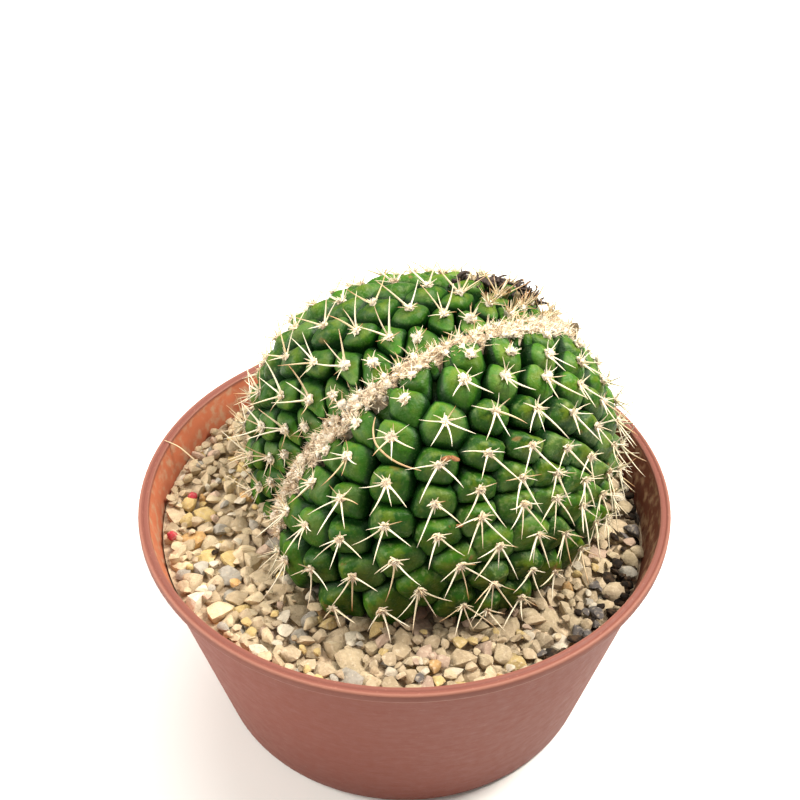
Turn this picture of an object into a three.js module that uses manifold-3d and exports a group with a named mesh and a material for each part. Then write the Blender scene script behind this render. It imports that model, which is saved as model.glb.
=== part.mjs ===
import * as THREE from 'three';
import { mergeVertices } from 'three/addons/utils/BufferGeometryUtils.js';
import Module from 'manifold-3d';

// A crested clump of mother of hundreds cactus in a shallow round pot, topped with gravel.
// Millimetres, +Z up. The origin is the centre of the pot's flat base.

const UP = new THREE.Vector3(0, 0, 1);

// Pot
const RIM_RADIUS = 70;
const POT_HEIGHT = 65;
const LIP_WIDTH = 2.7;
const LIP_DEPTH = 2.4;
const LIP_ROUND = 0.45;
const LIP_OVERHANG = 1.8;
const BASE_RADIUS = 54;
const BASE_ROUND = 1.4;
const WALL = 1.45;
const FLOOR = 2.2;
const POT_SIDES = 60;
const DRAIN_HOLES = 6;
const DRAIN_RADIUS = 4;
const DRAIN_CIRCLE = 36;

// Fill
const CLEARANCE = 0.3;
const SOCKET_CLEARANCE = 0.5;
const GRAVEL_CLEARANCE = 0.8;
const SOIL_TOP = 48.6;
const SOIL_SIDES = 36;
const GRAVEL_TOP = 55.5;
const GRAVEL_SLOPE = -0.03;
const BED_DROP = 1.4;
const BED_SIDES = 60;
const STONE_PITCH = 8.3;
const STONE_RADIUS = [2.9, 4.7];
const STONE_SQUASH = [0.5, 0.72];
const STONE_STRETCH = [0.87, 1.15];
const STONE_JITTER = [-1.1, 1.1];
const STONE_SINK = 1.4;
const STONE_LEVEL = [-0.7, 0.5];
const STONES_WITHIN = 63.5;
const MOUND_FOOT = [38, 36];
const STONE_SEED = 4121;
const GRAVEL_FINEST = 0.05;

// Mound: a flattened dome about this centre, with a front and a back flank that meet in the growth line
const MOUND_CENTRE = new THREE.Vector3(5, 5, GRAVEL_TOP + 8);
const UNDERSIDE_DEPTH = 24;
const FRONT = {
  pole: new THREE.Vector3(11, -43, -11).normalize(),
  left: 46, right: 45, near: 43, far: 46, height: 48,
  roundLeft: 2.4, roundRight: 1.75, roundUp: 2.3,
  pitchLeft: 11.9, pitchRight: 9.8, sinks: 2.1, sinksFrom: -2,
  rows: [
    [-4, 12], [1.5, 9], [6.7, 5.7], [11.6, 2.3], [17.2, -2.1], [23.6, -5.3], [29.1, -8.1], [35.1, -8.4],
    [44.5, -4.4], [54.7, -5.2], [63.7, -5.5], [72, -6],
  ],
};
const BACK = {
  pole: new THREE.Vector3(-12, 45, -11).normalize(),
  left: 44, right: 41, near: 43, far: 46, height: 47,
  roundLeft: 2.2, roundRight: 2.2, roundUp: 2.2,
  pitchLeft: 11.9, pitchRight: 11.9, sinks: -0.4, sinksFrom: -8,
  rows: [
    [7.1, -2.6], [10.6, -8.2], [15.9, -2.2], [22.2, 3.6], [28.8, -2.3], [35.4, 3.6], [42, -2.3],
    [48.6, 3.6], [55.2, -2.3], [61.8, 3.6], [68.4, -2.3], [75, 3.6], [81.6, -2.3],
  ],
};
const LINE_POINTS = [
  [-30, -12, -8], [-31, -12, 4], [-28, -10, 15], [-22.5, -11, 27], [-15, -13, 39], [-5, -13, 50],
  [8, -9, 56.5], [22, -1, 57], [34, 8, 52], [43, 17, 42], [47, 26, 28], [47, 33, 12], [44, 36, -8],
];
const LINE_STEPS = 240;
const FLANK_STEPS = 89;
const LINE_BLEND = THREE.MathUtils.degToRad(24);

// The body under the tubercles, its woolly crest along the growth line, and its buried base
const CORE_SINK = 1.5;
const CREST_RISE = 0.8;
const CORE_SPANS = 24;
const CORE_BANDS = [0.07, 0.15, 0.25, 0.37, 0.5, 0.64, 0.8];
const UNDERSIDE_TIP = 13;
const ROOT_TOP_RADIUS = 19;
const ROOT_TIP_RADIUS = 7;
const ROOT_DEPTH = 32;
const ROOT_SIDES = 12;

// Each row is a distance from the growth line and a shift along it, both at the flank's middle column.
// Columns are a pitch apart, and from one column to the next a row sinks further from the line.
const COLUMNS = 8;
const NEAREST_TUBERCLE = 5.5;
const YOUNG_WITHIN = 10;
const TUBERCLE_HEIGHT = [3.2, 6.2];
const TUBERCLE_SIZE = [0.88, 1];
const GROWS_BETWEEN = [4, 30];
const LOWEST_TUBERCLE = 1.2;
const LOW_TUBERCLES = 13;
const SWELL = [0.92, 1.08];
const PLANT_SEED = 907;
const BACK_SEED = 104729;
const PLANT_FINEST = 0.15;

// Lean away from the growth line in degrees, from the youngest tubercles to the grown ones
const LEAN = [-36, 6];
const LEANS_BETWEEN = [6, 31];

// Outline of a grown tubercle: a part of the pitch along its row, and a half width across it
const BASE_ALONG = 0.55;
const BASE_ACROSS = 5.4;
const BASE_SINK = 3.2;
const SHOULDER_AT = 0.62;
const SHOULDER_WIDTH = 0.74;
const TUBERCLE_SIDES = 6;
const YOUNG_SIDES = 4;

// Spines stand on an areole at the tubercle's tip
const AREOLE_RADIUS = 0.62;
const AREOLE_RISE = 0.3;
const AREOLE_DROOP = 14;
const RING_START = Math.PI / 2;
const AREOLE_SIDES = 4;
const YOUNG_AREOLE_SIDES = 3;
const OUTWARD_SPINE = [7.5, 11];
const INWARD_SPINE = [3, 5.5];
const YOUNG_SPINE = [2, 4.5];
const SPINE_RISE = [28, 50];
const SPINE_FAN = 14;
const SPINE_OVER_GRAVEL = 2.6;
const GROWN_TIP = 6;
const SPINE_BENDS = 4;
const LEVEL_RISE = THREE.MathUtils.degToRad(20);
const FACE_RISE = THREE.MathUtils.degToRad(55);
const LEAST_LEAN = 0.3;
const STUB_LENGTH = 1.6;
const SPINE_INSIDE_WALL = 63.2;
const SPINE_INSIDE_RIM = 66;

// Seed pod and dried flowers: place as line fraction and distance behind the line, bend towards a way
const POD = { at: 0.742, back: 0.4, way: UP, bend: 0.62, length: 7.6, radius: 1.75, sink: 1.2 };
const DRIED_FLOWERS = [
  { at: 0.622, back: 14.5, way: new THREE.Vector3(0.25, 0, 1), bend: 0.9, length: 8, radius: 1, sink: 1.6 },
  { at: 0.63, back: 10.5, way: new THREE.Vector3(0.2, 0, 1), bend: 0.9, length: 7.6, radius: 0.95, sink: 1.6 },
  { at: 0.672, back: 13, way: new THREE.Vector3(-0.55, 0, 1), bend: 1, length: 9, radius: 1.5, sink: 1.6 },
];

const wasm = await Module();
wasm.setup();

// A repeatable row of random numbers between 0 and 1
function seededRandom(seed) {
  let state = seed;
  return () => {
    state = (state * 1664525 + 1013904223) % 4294967296;
    return state / 4294967296;
  };
}

function between(range, fraction) {
  return range[0] + (range[1] - range[0]) * fraction;
}

// A closed three.js geometry becomes a solid once its shared corners are merged
function solidOf(geometry) {
  const bare = geometry.clone();
  bare.deleteAttribute('normal');
  bare.deleteAttribute('uv');
  const merged = mergeVertices(bare, 1e-4);
  const vertProperties = new Float32Array(merged.attributes.position.array);
  const triVerts = new Uint32Array(merged.index.array);
  return new wasm.Manifold(new wasm.Mesh({ numProp: 3, vertProperties, triVerts }));
}

// Points and triangles given by hand become a solid with its faces turned outwards
function solidOfFaces(points, faces) {
  const volume = faces.reduce((sum, [a, b, c]) => {
    const cross = new THREE.Vector3().crossVectors(points[b], points[c]);
    return sum + points[a].dot(cross);
  }, 0);
  const turned = volume < 0 ? faces.map(([a, b, c]) => [a, c, b]) : faces;
  const vertProperties = new Float32Array(points.flatMap((point) => point.toArray()));
  const triVerts = new Uint32Array(turned.flat());
  return new wasm.Manifold(new wasm.Mesh({ numProp: 3, vertProperties, triVerts }));
}

// The main body of a cut or join, without loose crumbs, sealed pockets and slivers
function mainBody(solid, finest) {
  const bodies = solid.asOriginal().simplify(finest).decompose();
  return bodies.reduce((best, body) => (body.volume() > best.volume() ? body : best));
}

function joined(solids) {
  return wasm.Manifold.union(solids);
}

function meshOf(name, solid, color, roughness) {
  const source = solid.getMesh();
  const geometry = new THREE.BufferGeometry();
  geometry.setAttribute('position', new THREE.BufferAttribute(new Float32Array(source.vertProperties), 3));
  geometry.setIndex(new THREE.BufferAttribute(new Uint32Array(source.triVerts), 1));
  geometry.computeVertexNormals();
  const material = new THREE.MeshStandardMaterial({ color, roughness, metalness: 0 });
  const mesh = new THREE.Mesh(geometry, material);
  mesh.name = name;
  return mesh;
}

// Turn a profile of [radius, height] pairs round the Z axis
function turned(profile, sides) {
  const points = profile.map(([radius, height]) => new THREE.Vector2(radius, height));
  return new THREE.LatheGeometry(points, sides).rotateX(Math.PI / 2);
}

function wallOuterRadius(height) {
  const topRadius = RIM_RADIUS - LIP_OVERHANG;
  return BASE_RADIUS + (topRadius - BASE_RADIUS) * (height / (POT_HEIGHT - LIP_DEPTH));
}

function wallInnerRadius(height) {
  return wallOuterRadius(height) - WALL;
}

function drainHole(index) {
  const angle = (2 * Math.PI * (index + 0.5)) / DRAIN_HOLES;
  const hole = new THREE.CylinderGeometry(DRAIN_RADIUS, DRAIN_RADIUS, 3 * FLOOR, 12).rotateX(Math.PI / 2);
  hole.translate(DRAIN_CIRCLE * Math.cos(angle), DRAIN_CIRCLE * Math.sin(angle), FLOOR / 2);
  return solidOf(hole);
}

function buildPot() {
  const under = POT_HEIGHT - LIP_DEPTH;
  const rimInner = RIM_RADIUS - LIP_WIDTH;
  const profile = [
    [0, 0],
    [BASE_RADIUS - BASE_ROUND, 0],
    [wallOuterRadius(BASE_ROUND), BASE_ROUND],
    [wallOuterRadius(under), under],
    [RIM_RADIUS - LIP_ROUND, under],
    [RIM_RADIUS, under + LIP_ROUND],
    [RIM_RADIUS, POT_HEIGHT - LIP_ROUND],
    [RIM_RADIUS - LIP_ROUND, POT_HEIGHT],
    [rimInner + LIP_ROUND, POT_HEIGHT],
    [rimInner, POT_HEIGHT - LIP_ROUND],
    [wallInnerRadius(under), under - LIP_ROUND],
    [wallInnerRadius(FLOOR + BASE_ROUND), FLOOR + BASE_ROUND],
    [wallInnerRadius(FLOOR) - BASE_ROUND, FLOOR],
    [0, FLOOR],
  ];
  let pot = solidOf(turned(profile, POT_SIDES));
  for (let index = 0; index < DRAIN_HOLES; index += 1) {
    pot = pot.subtract(drainHole(index));
  }
  return pot;
}

// Radius of a flank's dome from the mound's centre along a unit direction
function domeRadius(direction, flank) {
  const along = direction.x < 0 ? flank.left : flank.right;
  const across = direction.y < 0 ? flank.near : flank.far;
  const height = direction.z < 0 ? UNDERSIDE_DEPTH : flank.height;
  const power = direction.x < 0 ? flank.roundLeft : flank.roundRight;
  const plan = Math.abs(direction.x / along) ** power + Math.abs(direction.y / across) ** power;
  const rise = Math.abs(direction.z / height) ** flank.roundUp;
  return (plan ** (flank.roundUp / power) + rise) ** (-1 / flank.roundUp);
}

const growthLine = new THREE.CatmullRomCurve3(
  LINE_POINTS.map(([x, y, z]) => new THREE.Vector3(x, y, GRAVEL_TOP + z)),
  false,
  'catmullrom',
  0.5,
);

// The flank's surface on the great circle from the growth line to the flank's pole
function flankPoint(lineFraction, flankFraction, flank) {
  const spoke = growthLine.getPoint(lineFraction).sub(MOUND_CENTRE);
  const lineRadius = spoke.length();
  const start = spoke.divideScalar(lineRadius);
  const arc = Math.acos(THREE.MathUtils.clamp(start.dot(flank.pole), -1, 1));
  const turn = arc * flankFraction;
  const direction = start.clone().multiplyScalar(Math.sin(arc - turn) / Math.sin(arc));
  direction.addScaledVector(flank.pole, Math.sin(turn) / Math.sin(arc));
  const ridge = (lineRadius - domeRadius(start, flank)) * Math.exp(-((turn / LINE_BLEND) ** 2));
  return direction.multiplyScalar(domeRadius(direction, flank) + ridge).add(MOUND_CENTRE);
}

// Every flank is sampled once: points[i][j], with i along the growth line and j down the flank
function sampleFlank(flank) {
  const points = [];
  for (let i = 0; i <= LINE_STEPS; i += 1) {
    const meridian = [];
    for (let j = 0; j <= FLANK_STEPS; j += 1) {
      meridian.push(flankPoint(i / LINE_STEPS, j / FLANK_STEPS, flank));
    }
    points.push(meridian);
  }
  return points;
}

// The spot at a given surface distance from the growth line, with its downhill way and its normal
function spotOnMeridian(points, i, distance) {
  const meridian = points[i];
  let walked = 0;
  for (let j = 0; j < FLANK_STEPS; j += 1) {
    const step = meridian[j].distanceTo(meridian[j + 1]);
    if (walked + step >= distance) {
      const position = meridian[j].clone().lerp(meridian[j + 1], (distance - walked) / step);
      const down = meridian[j + 1].clone().sub(meridian[j]).normalize();
      const before = points[Math.max(i - 1, 0)][j];
      const after = points[Math.min(i + 1, LINE_STEPS)][j];
      const normal = after.clone().sub(before).cross(down).normalize();
      if (normal.dot(position.clone().sub(MOUND_CENTRE)) < 0) {
        normal.negate();
      }
      return { position, down, normal };
    }
    walked += step;
  }
  return null;
}

// How far a distance lies between two others, from 0 to 1
function partBetween(range, distance) {
  return THREE.MathUtils.clamp((distance - range[0]) / (range[1] - range[0]), 0, 1);
}

// The spot at a distance from the growth line, walked along it from the middle of the line
function spotAlong(points, along, distance) {
  const way = Math.sign(along);
  let spot = spotOnMeridian(points, LINE_STEPS / 2, distance);
  let walked = 0;
  for (let i = LINE_STEPS / 2 + way; walked < Math.abs(along); i += way) {
    const next = points[i] && spotOnMeridian(points, i, distance);
    if (!spot || !next) {
      return null;
    }
    walked += next.position.distanceTo(spot.position);
    spot = next;
  }
  return spot;
}

// A tubercle's height, size and lean follow from its distance to the growth line
function tubercleAt(flank, points, row, column) {
  const [first, shift] = flank.rows[row];
  const distance = first + flank.sinks * Math.max(column, flank.sinksFrom);
  const pitch = column < 0 ? flank.pitchLeft : flank.pitchRight;
  const spot = distance > NEAREST_TUBERCLE ? spotAlong(points, shift + column * pitch, distance) : null;
  if (!spot) {
    return null;
  }
  const young = 1 - partBetween(GROWS_BETWEEN, distance);
  const height = between(TUBERCLE_HEIGHT, 1 - young * young);
  const lean = between(LEAN, partBetween(LEANS_BETWEEN, distance));
  const leanAngle = THREE.MathUtils.degToRad(lean);
  const tipDrop = spot.normal.z * Math.cos(leanAngle) + spot.down.z * Math.sin(leanAngle);
  const lowest = Math.min(spot.position.z, spot.position.z + height * tipDrop);
  if (lowest < GRAVEL_TOP + LOWEST_TUBERCLE) {
    return null;
  }
  const seed = PLANT_SEED + 7919 * (32 * row + column + COLUMNS) + (flank === BACK ? BACK_SEED : 0);
  return { ...spot, distance, pitch, height, lean, seed, size: between(TUBERCLE_SIZE, 1 - young) };
}

function placeTubercles(flank, points) {
  const places = [];
  flank.rows.forEach((_, row) => {
    for (let column = -COLUMNS; column <= COLUMNS; column += 1) {
      places.push(tubercleAt(flank, points, row, column));
    }
  });
  return places.filter((place) => place);
}

function corePoint(lineFraction, flankFraction, flank, grow) {
  const point = flankPoint(lineFraction, flankFraction, flank);
  const spoke = point.clone().sub(MOUND_CENTRE);
  point.addScaledVector(spoke.normalize(), grow + (flankFraction === 0 ? CREST_RISE : -CORE_SINK));
  const buried = THREE.MathUtils.clamp((GRAVEL_TOP + 2 - point.z) / 4, 0, 1);
  point.z -= Math.max(grow, 0) * buried;
  return point;
}

// The mound under the tubercles, closed below by a shallow cone
function buildCore(grow) {
  const points = [];
  const faces = [];
  const add = (point) => points.push(point) - 1;
  const line = [];
  for (let i = 0; i <= CORE_SPANS; i += 1) {
    line.push(add(corePoint(i / CORE_SPANS, 0, FRONT, grow)));
  }
  const edges = [];
  for (const flank of [FRONT, BACK]) {
    const rings = [line];
    for (const band of CORE_BANDS) {
      rings.push(line.map((_, i) => add(corePoint(i / CORE_SPANS, band, flank, grow))));
    }
    const pole = add(corePoint(0.5, 1, flank, grow));
    const side = flank === FRONT ? 1 : -1;
    const face = (a, b, c) => faces.push(side > 0 ? [a, b, c] : [a, c, b]);
    for (let i = 0; i < CORE_SPANS; i += 1) {
      for (let j = 0; j < CORE_BANDS.length; j += 1) {
        face(rings[j][i], rings[j + 1][i], rings[j + 1][i + 1]);
        face(rings[j][i], rings[j + 1][i + 1], rings[j][i + 1]);
      }
      face(rings[CORE_BANDS.length][i], pole, rings[CORE_BANDS.length][i + 1]);
    }
    edges.push({ first: rings.map((ring) => ring[0]), last: rings.map((ring) => ring[CORE_SPANS]), pole });
  }
  const [front, back] = edges;
  const loop = [
    ...front.first, front.pole, ...front.last.slice(1).reverse(),
    ...back.last, back.pole, ...back.first.slice(1).reverse(),
  ];
  const tip = add(new THREE.Vector3(MOUND_CENTRE.x, MOUND_CENTRE.y, GRAVEL_TOP - UNDERSIDE_TIP - grow));
  loop.forEach((corner, index) => faces.push([corner, tip, loop[(index + 1) % loop.length]]));
  return solidOfFaces(points, faces);
}

function buildRoot(grow) {
  const profile = [
    [0, GRAVEL_TOP - ROOT_DEPTH - grow],
    [ROOT_TIP_RADIUS + grow, GRAVEL_TOP - ROOT_DEPTH - grow],
    [ROOT_TOP_RADIUS + grow, GRAVEL_TOP - UNDERSIDE_TIP + 2],
    [0, GRAVEL_TOP - UNDERSIDE_TIP + 4],
  ];
  return solidOf(turned(profile, ROOT_SIDES).translate(MOUND_CENTRE.x, MOUND_CENTRE.y, 0));
}

function gravelHeight(x) {
  return GRAVEL_TOP + GRAVEL_SLOPE * x;
}

// The pot's wall draws a spine in
function insideRim(root, tip) {
  const limit = tip.z < POT_HEIGHT + 2 ? SPINE_INSIDE_WALL : SPINE_INSIDE_RIM;
  const reach = Math.hypot(tip.x, tip.y);
  if (reach > limit) {
    tip.lerp(root, Math.min((reach - limit) / (reach - Math.hypot(root.x, root.y)), 0.8));
  }
  return tip;
}

// A spine that would reach the gravel is bent level and shortened, down to a stub
function spineTip(root, way, faceWay, length) {
  const floor = gravelHeight(root.x) + SPINE_OVER_GRAVEL;
  const level = new THREE.Vector3(faceWay.x, faceWay.y, 0).normalize();
  level.multiplyScalar(Math.cos(LEVEL_RISE)).addScaledVector(UP, Math.sin(LEVEL_RISE));
  for (let bend = 0; bend <= SPINE_BENDS; bend += 1) {
    const part = bend / SPINE_BENDS;
    const bent = way.clone().lerp(level, part).normalize();
    const tip = root.clone().addScaledVector(bent, length * (1 - part / 2));
    if (tip.z > floor && bent.dot(faceWay) > LEAST_LEAN) {
      return insideRim(root, tip);
    }
  }
  return root.clone().addScaledVector(faceWay, STUB_LENGTH);
}

// Faces between two rings of points that may differ in number
function bridgeRings(lower, upper, faces) {
  let a = 0;
  let b = 0;
  while (a < lower.length || b < upper.length) {
    const lowerNext = (a + 1) / lower.length;
    const upperNext = (b + 1) / upper.length;
    if (lowerNext <= upperNext) {
      faces.push([lower[a % lower.length], lower[(a + 1) % lower.length], upper[b % upper.length]]);
      a += 1;
    } else {
      faces.push([lower[a % lower.length], upper[(b + 1) % upper.length], upper[b % upper.length]]);
      b += 1;
    }
  }
}

// The ways at a tubercle: sideways, its leaning axis, and the areole's axis and downhill way
function tubercleWays({ down, normal, lean }) {
  const side = new THREE.Vector3().crossVectors(down, normal);
  const leaning = (degrees) => {
    const angle = THREE.MathUtils.degToRad(degrees);
    return normal.clone().multiplyScalar(Math.cos(angle)).addScaledVector(down, Math.sin(angle));
  };
  const areoleAxis = leaning(lean + AREOLE_DROOP);
  const areoleDown = new THREE.Vector3().crossVectors(areoleAxis, side);
  return { side, down, normal, axis: leaning(lean), areoleAxis, areoleDown };
}

// An oval ring of new corners, starting on its downhill side
function addRing(points, centre, count, sideWay, sideRadius, downWay, downRadius) {
  const ring = [];
  for (let index = 0; index < count; index += 1) {
    const angle = RING_START + (2 * Math.PI * index) / count;
    const corner = centre.clone().addScaledVector(sideWay, sideRadius * Math.cos(angle));
    corner.addScaledVector(downWay, downRadius * Math.sin(angle));
    ring.push(points.push(corner) - 1);
  }
  return ring;
}

// A way out of the areole: an angle round its axis and a rise over its plane
function areoleWay(ways, angle, rise) {
  const way = ways.side.clone().multiplyScalar(Math.cos(angle) * Math.cos(rise));
  way.addScaledVector(ways.areoleDown, Math.sin(angle) * Math.cos(rise));
  return way.addScaledVector(ways.areoleAxis, Math.sin(rise));
}

// Spines rise from the faces of the areole: long ones downhill, short ones uphill
function addSpines(points, faces, areole, centre, root, ways, young, random, grow) {
  areole.forEach((corner, index) => {
    const middle = RING_START + (2 * Math.PI * (index + 0.5)) / areole.length;
    const next = areole[(index + 1) % areole.length];
    const outward = Math.sin(middle) > 0;
    if (young && !outward) {
      faces.push([centre, corner, next]);
      return;
    }
    const fan = middle + THREE.MathUtils.degToRad(between([-SPINE_FAN, SPINE_FAN], random()));
    const rise = THREE.MathUtils.degToRad(between(SPINE_RISE, random()));
    const lengths = young ? YOUNG_SPINE : (outward ? OUTWARD_SPINE : INWARD_SPINE);
    const way = areoleWay(ways, fan, rise);
    const faceWay = areoleWay(ways, middle, FACE_RISE);
    const tip = spineTip(root, way, faceWay, between(lengths, random()));
    tip.addScaledVector(tip.clone().sub(root).normalize(), grow * GROWN_TIP);
    const point = points.push(tip) - 1;
    faces.push([centre, corner, point], [corner, next, point], [next, centre, point]);
  });
}

// One tubercle with its areole and its star of spines, in one solid
function buildTubercle(place, random, grow) {
  const ways = tubercleWays(place);
  const young = place.distance < YOUNG_WITHIN;
  const swell = between(SWELL, random());
  const tall = place.height * between(SWELL, random());
  const along = place.pitch * BASE_ALONG * place.size * swell + grow;
  const across = BASE_ACROSS * place.size * swell + grow;
  const foot = place.position.clone().addScaledVector(ways.normal, -BASE_SINK);
  const middle = place.position.clone().addScaledVector(ways.axis, tall * SHOULDER_AT + grow);
  const root = place.position.clone().addScaledVector(ways.axis, tall);
  const tip = root.clone().addScaledVector(ways.axis, grow);
  const points = [];
  const faces = [];
  const ringAt = (centre, count, size) =>
    addRing(points, centre, count, ways.side, along * size, ways.down, across * size);
  const base = ringAt(foot, young ? YOUNG_SIDES : TUBERCLE_SIDES, 1);
  const shoulder = ringAt(middle, base.length, SHOULDER_WIDTH);
  const radius = AREOLE_RADIUS + grow;
  const corners = young ? YOUNG_AREOLE_SIDES : AREOLE_SIDES;
  const areole = addRing(points, tip, corners, ways.side, radius, ways.areoleDown, radius);
  const centre = points.push(tip.clone().addScaledVector(ways.areoleAxis, AREOLE_RISE)) - 1;
  for (let index = 1; index < base.length - 1; index += 1) {
    faces.push([base[0], base[index + 1], base[index]]);
  }
  bridgeRings(base, shoulder, faces);
  bridgeRings(shoulder, areole, faces);
  addSpines(points, faces, areole, centre, root, ways, young, random, grow);
  return solidOfFaces(points, faces);
}

function buildTubercles(places, grow, wanted) {
  return places.filter(wanted).map((place) => buildTubercle(place, seededRandom(place.seed), grow));
}

// A stone is an octahedron, stretched and squashed, lying at a random turn
function buildStone(x, y, random) {
  const radius = between(STONE_RADIUS, random());
  const squash = between(STONE_SQUASH, random());
  const stretch = between(STONE_STRETCH, random());
  const stone = new THREE.OctahedronGeometry(radius, 0);
  stone.rotateX(Math.PI * random()).rotateY(Math.PI * random());
  stone.scale(stretch, 1 / stretch, squash).rotateZ(Math.PI * random());
  const reach = wallInnerRadius(SOIL_TOP) - CLEARANCE - radius * STONE_STRETCH[1];
  const inward = Math.min(1, reach / Math.hypot(x, y));
  stone.translate(x * inward, y * inward, gravelHeight(x) - STONE_SINK + between(STONE_LEVEL, random()));
  return solidOf(stone);
}

// Stones on a loose triangular grid, between the mound's foot and the pot's wall
function placeStones() {
  const random = seededRandom(STONE_SEED);
  const stones = [];
  const rowStep = STONE_PITCH * Math.sqrt(0.75);
  const rows = Math.ceil(RIM_RADIUS / rowStep);
  for (let row = -rows; row <= rows; row += 1) {
    for (let column = -rows; column <= rows; column += 1) {
      const x = (column + (row % 2 ? 0.5 : 0)) * STONE_PITCH + between(STONE_JITTER, random());
      const y = row * rowStep + between(STONE_JITTER, random());
      const fromMound = [(x - MOUND_CENTRE.x) / MOUND_FOOT[0], (y - MOUND_CENTRE.y) / MOUND_FOOT[1]];
      if (Math.hypot(x, y) < STONES_WITHIN && Math.hypot(...fromMound) > 1) {
        stones.push(buildStone(x, y, random));
      }
    }
  }
  return stones;
}

function buildBed() {
  const top = GRAVEL_TOP - BED_DROP;
  const bottom = SOIL_TOP + CLEARANCE;
  const profile = [
    [0, bottom],
    [wallInnerRadius(bottom) - CLEARANCE, bottom],
    [wallInnerRadius(bottom) - CLEARANCE, top],
    [0, top],
  ];
  const bed = turned(profile, BED_SIDES);
  const corners = bed.attributes.position;
  for (let index = 0; index < corners.count; index += 1) {
    if (corners.getZ(index) > bottom + CLEARANCE) {
      corners.setZ(index, corners.getZ(index) + GRAVEL_SLOPE * corners.getX(index));
    }
  }
  return solidOf(bed);
}

// The stones and their bed, with room for the plant's foot, its lowest tubercles and their spines
function buildGravel(hollow, lowTubercles) {
  const dressed = joined([buildBed(), ...placeStones()]);
  return mainBody(dressed.subtract(joined([hollow, ...lowTubercles])), GRAVEL_FINEST);
}

function buildSoil(hollow) {
  const bottom = FLOOR + CLEARANCE;
  const profile = [
    [0, bottom],
    [wallInnerRadius(FLOOR) - BASE_ROUND - CLEARANCE, bottom],
    [wallInnerRadius(bottom + BASE_ROUND) - CLEARANCE, bottom + BASE_ROUND],
    [wallInnerRadius(SOIL_TOP) - CLEARANCE, SOIL_TOP],
    [0, SOIL_TOP],
  ];
  return solidOf(turned(profile, SOIL_SIDES)).subtract(hollow);
}

// A small fruit or flower stands on the back flank, at a line fraction and a distance from the line
function standOnFlank(profile, sides, stand, grow) {
  const spot = spotOnMeridian(backSamples, Math.round(stand.at * LINE_STEPS), stand.back);
  const axis = spot.normal.clone().lerp(stand.way, stand.bend).normalize();
  const foot = spot.position.clone().addScaledVector(axis, -stand.sink - grow);
  const turn = new THREE.Quaternion().setFromUnitVectors(new THREE.Vector3(0, 0, 1), axis);
  return solidOf(turned(profile, sides).applyQuaternion(turn).translate(foot.x, foot.y, foot.z));
}

function buildPod(grow) {
  const radius = POD.radius + grow;
  const length = POD.length + 2 * grow;
  const profile = [
    [0, 0], [0.6 * radius, 0.05 * length], [0.95 * radius, 0.3 * length], [radius, 0.72 * length],
    [0.78 * radius, 0.95 * length], [0, length],
  ];
  return standOnFlank(profile, 9, POD, grow);
}

// A dried flower: a shrivelled tube that widens to a ragged, closed mouth
function buildDriedFlower(flower, grow) {
  const radius = flower.radius + grow;
  const length = flower.length + 2 * grow;
  const profile = [
    [0, 0], [0.75 * radius, 0], [0.62 * radius, 0.35 * length], [0.8 * radius, 0.72 * length],
    [radius, 0.93 * length], [0.45 * radius, length], [0, 0.96 * length],
  ];
  return standOnFlank(profile, 7, flower, grow);
}

// The plant in one body: buried base, mound, tubercles and spines, with sockets for what stands on it
function buildCactus(places, standing) {
  const tubercles = buildTubercles(places, 0, () => true);
  const plant = joined([buildCore(0), buildRoot(0), ...tubercles]);
  return mainBody(plant.subtract(joined(standing)), PLANT_FINEST);
}

const backSamples = sampleFlank(BACK);
const places = [...placeTubercles(FRONT, sampleFlank(FRONT)), ...placeTubercles(BACK, backSamples)];
const hollow = joined([buildCore(CLEARANCE), buildRoot(CLEARANCE)]);
const low = (place) => place.position.z < GRAVEL_TOP + LOW_TUBERCLES;
const sockets = [buildPod(SOCKET_CLEARANCE)];
DRIED_FLOWERS.forEach((flower) => sockets.push(buildDriedFlower(flower, SOCKET_CLEARANCE)));

const plant = new THREE.Group();
plant.add(
  meshOf('cactus', buildCactus(places, sockets), 0x2f6b2c, 0.55),
  meshOf('seed_pod', buildPod(0), 0x7d6a2f, 0.5),
);
DRIED_FLOWERS.forEach((flower, index) => {
  plant.add(meshOf(`dried_flower_${index + 1}`, buildDriedFlower(flower, 0), 0x6b5a35, 0.9));
});

const fill = new THREE.Group();
fill.add(
  meshOf('gravel', buildGravel(hollow, buildTubercles(places, GRAVEL_CLEARANCE, low)), 0xcdbb94, 0.9),
  meshOf('soil', buildSoil(hollow), 0x2b211a, 1),
);

const pottedCactus = new THREE.Group();
pottedCactus.add(meshOf('pot', buildPot(), 0xb5654f, 0.6), fill, plant);

export default pottedCactus;
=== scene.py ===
"""Dresses the solids of a potted, crested cactus: plant, wool, spines, gravel and pot.

Shapes are made in millimetres and scaled to metres when a piece is finished. The plant's
layout repeats the rule of its solids: rows of tubercles parallel to one growth line.
"""

import logging
import math
from dataclasses import dataclass, field
from enum import Enum
from typing import Callable

import bmesh
import bpy
from mathutils import Matrix, Vector, noise


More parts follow.
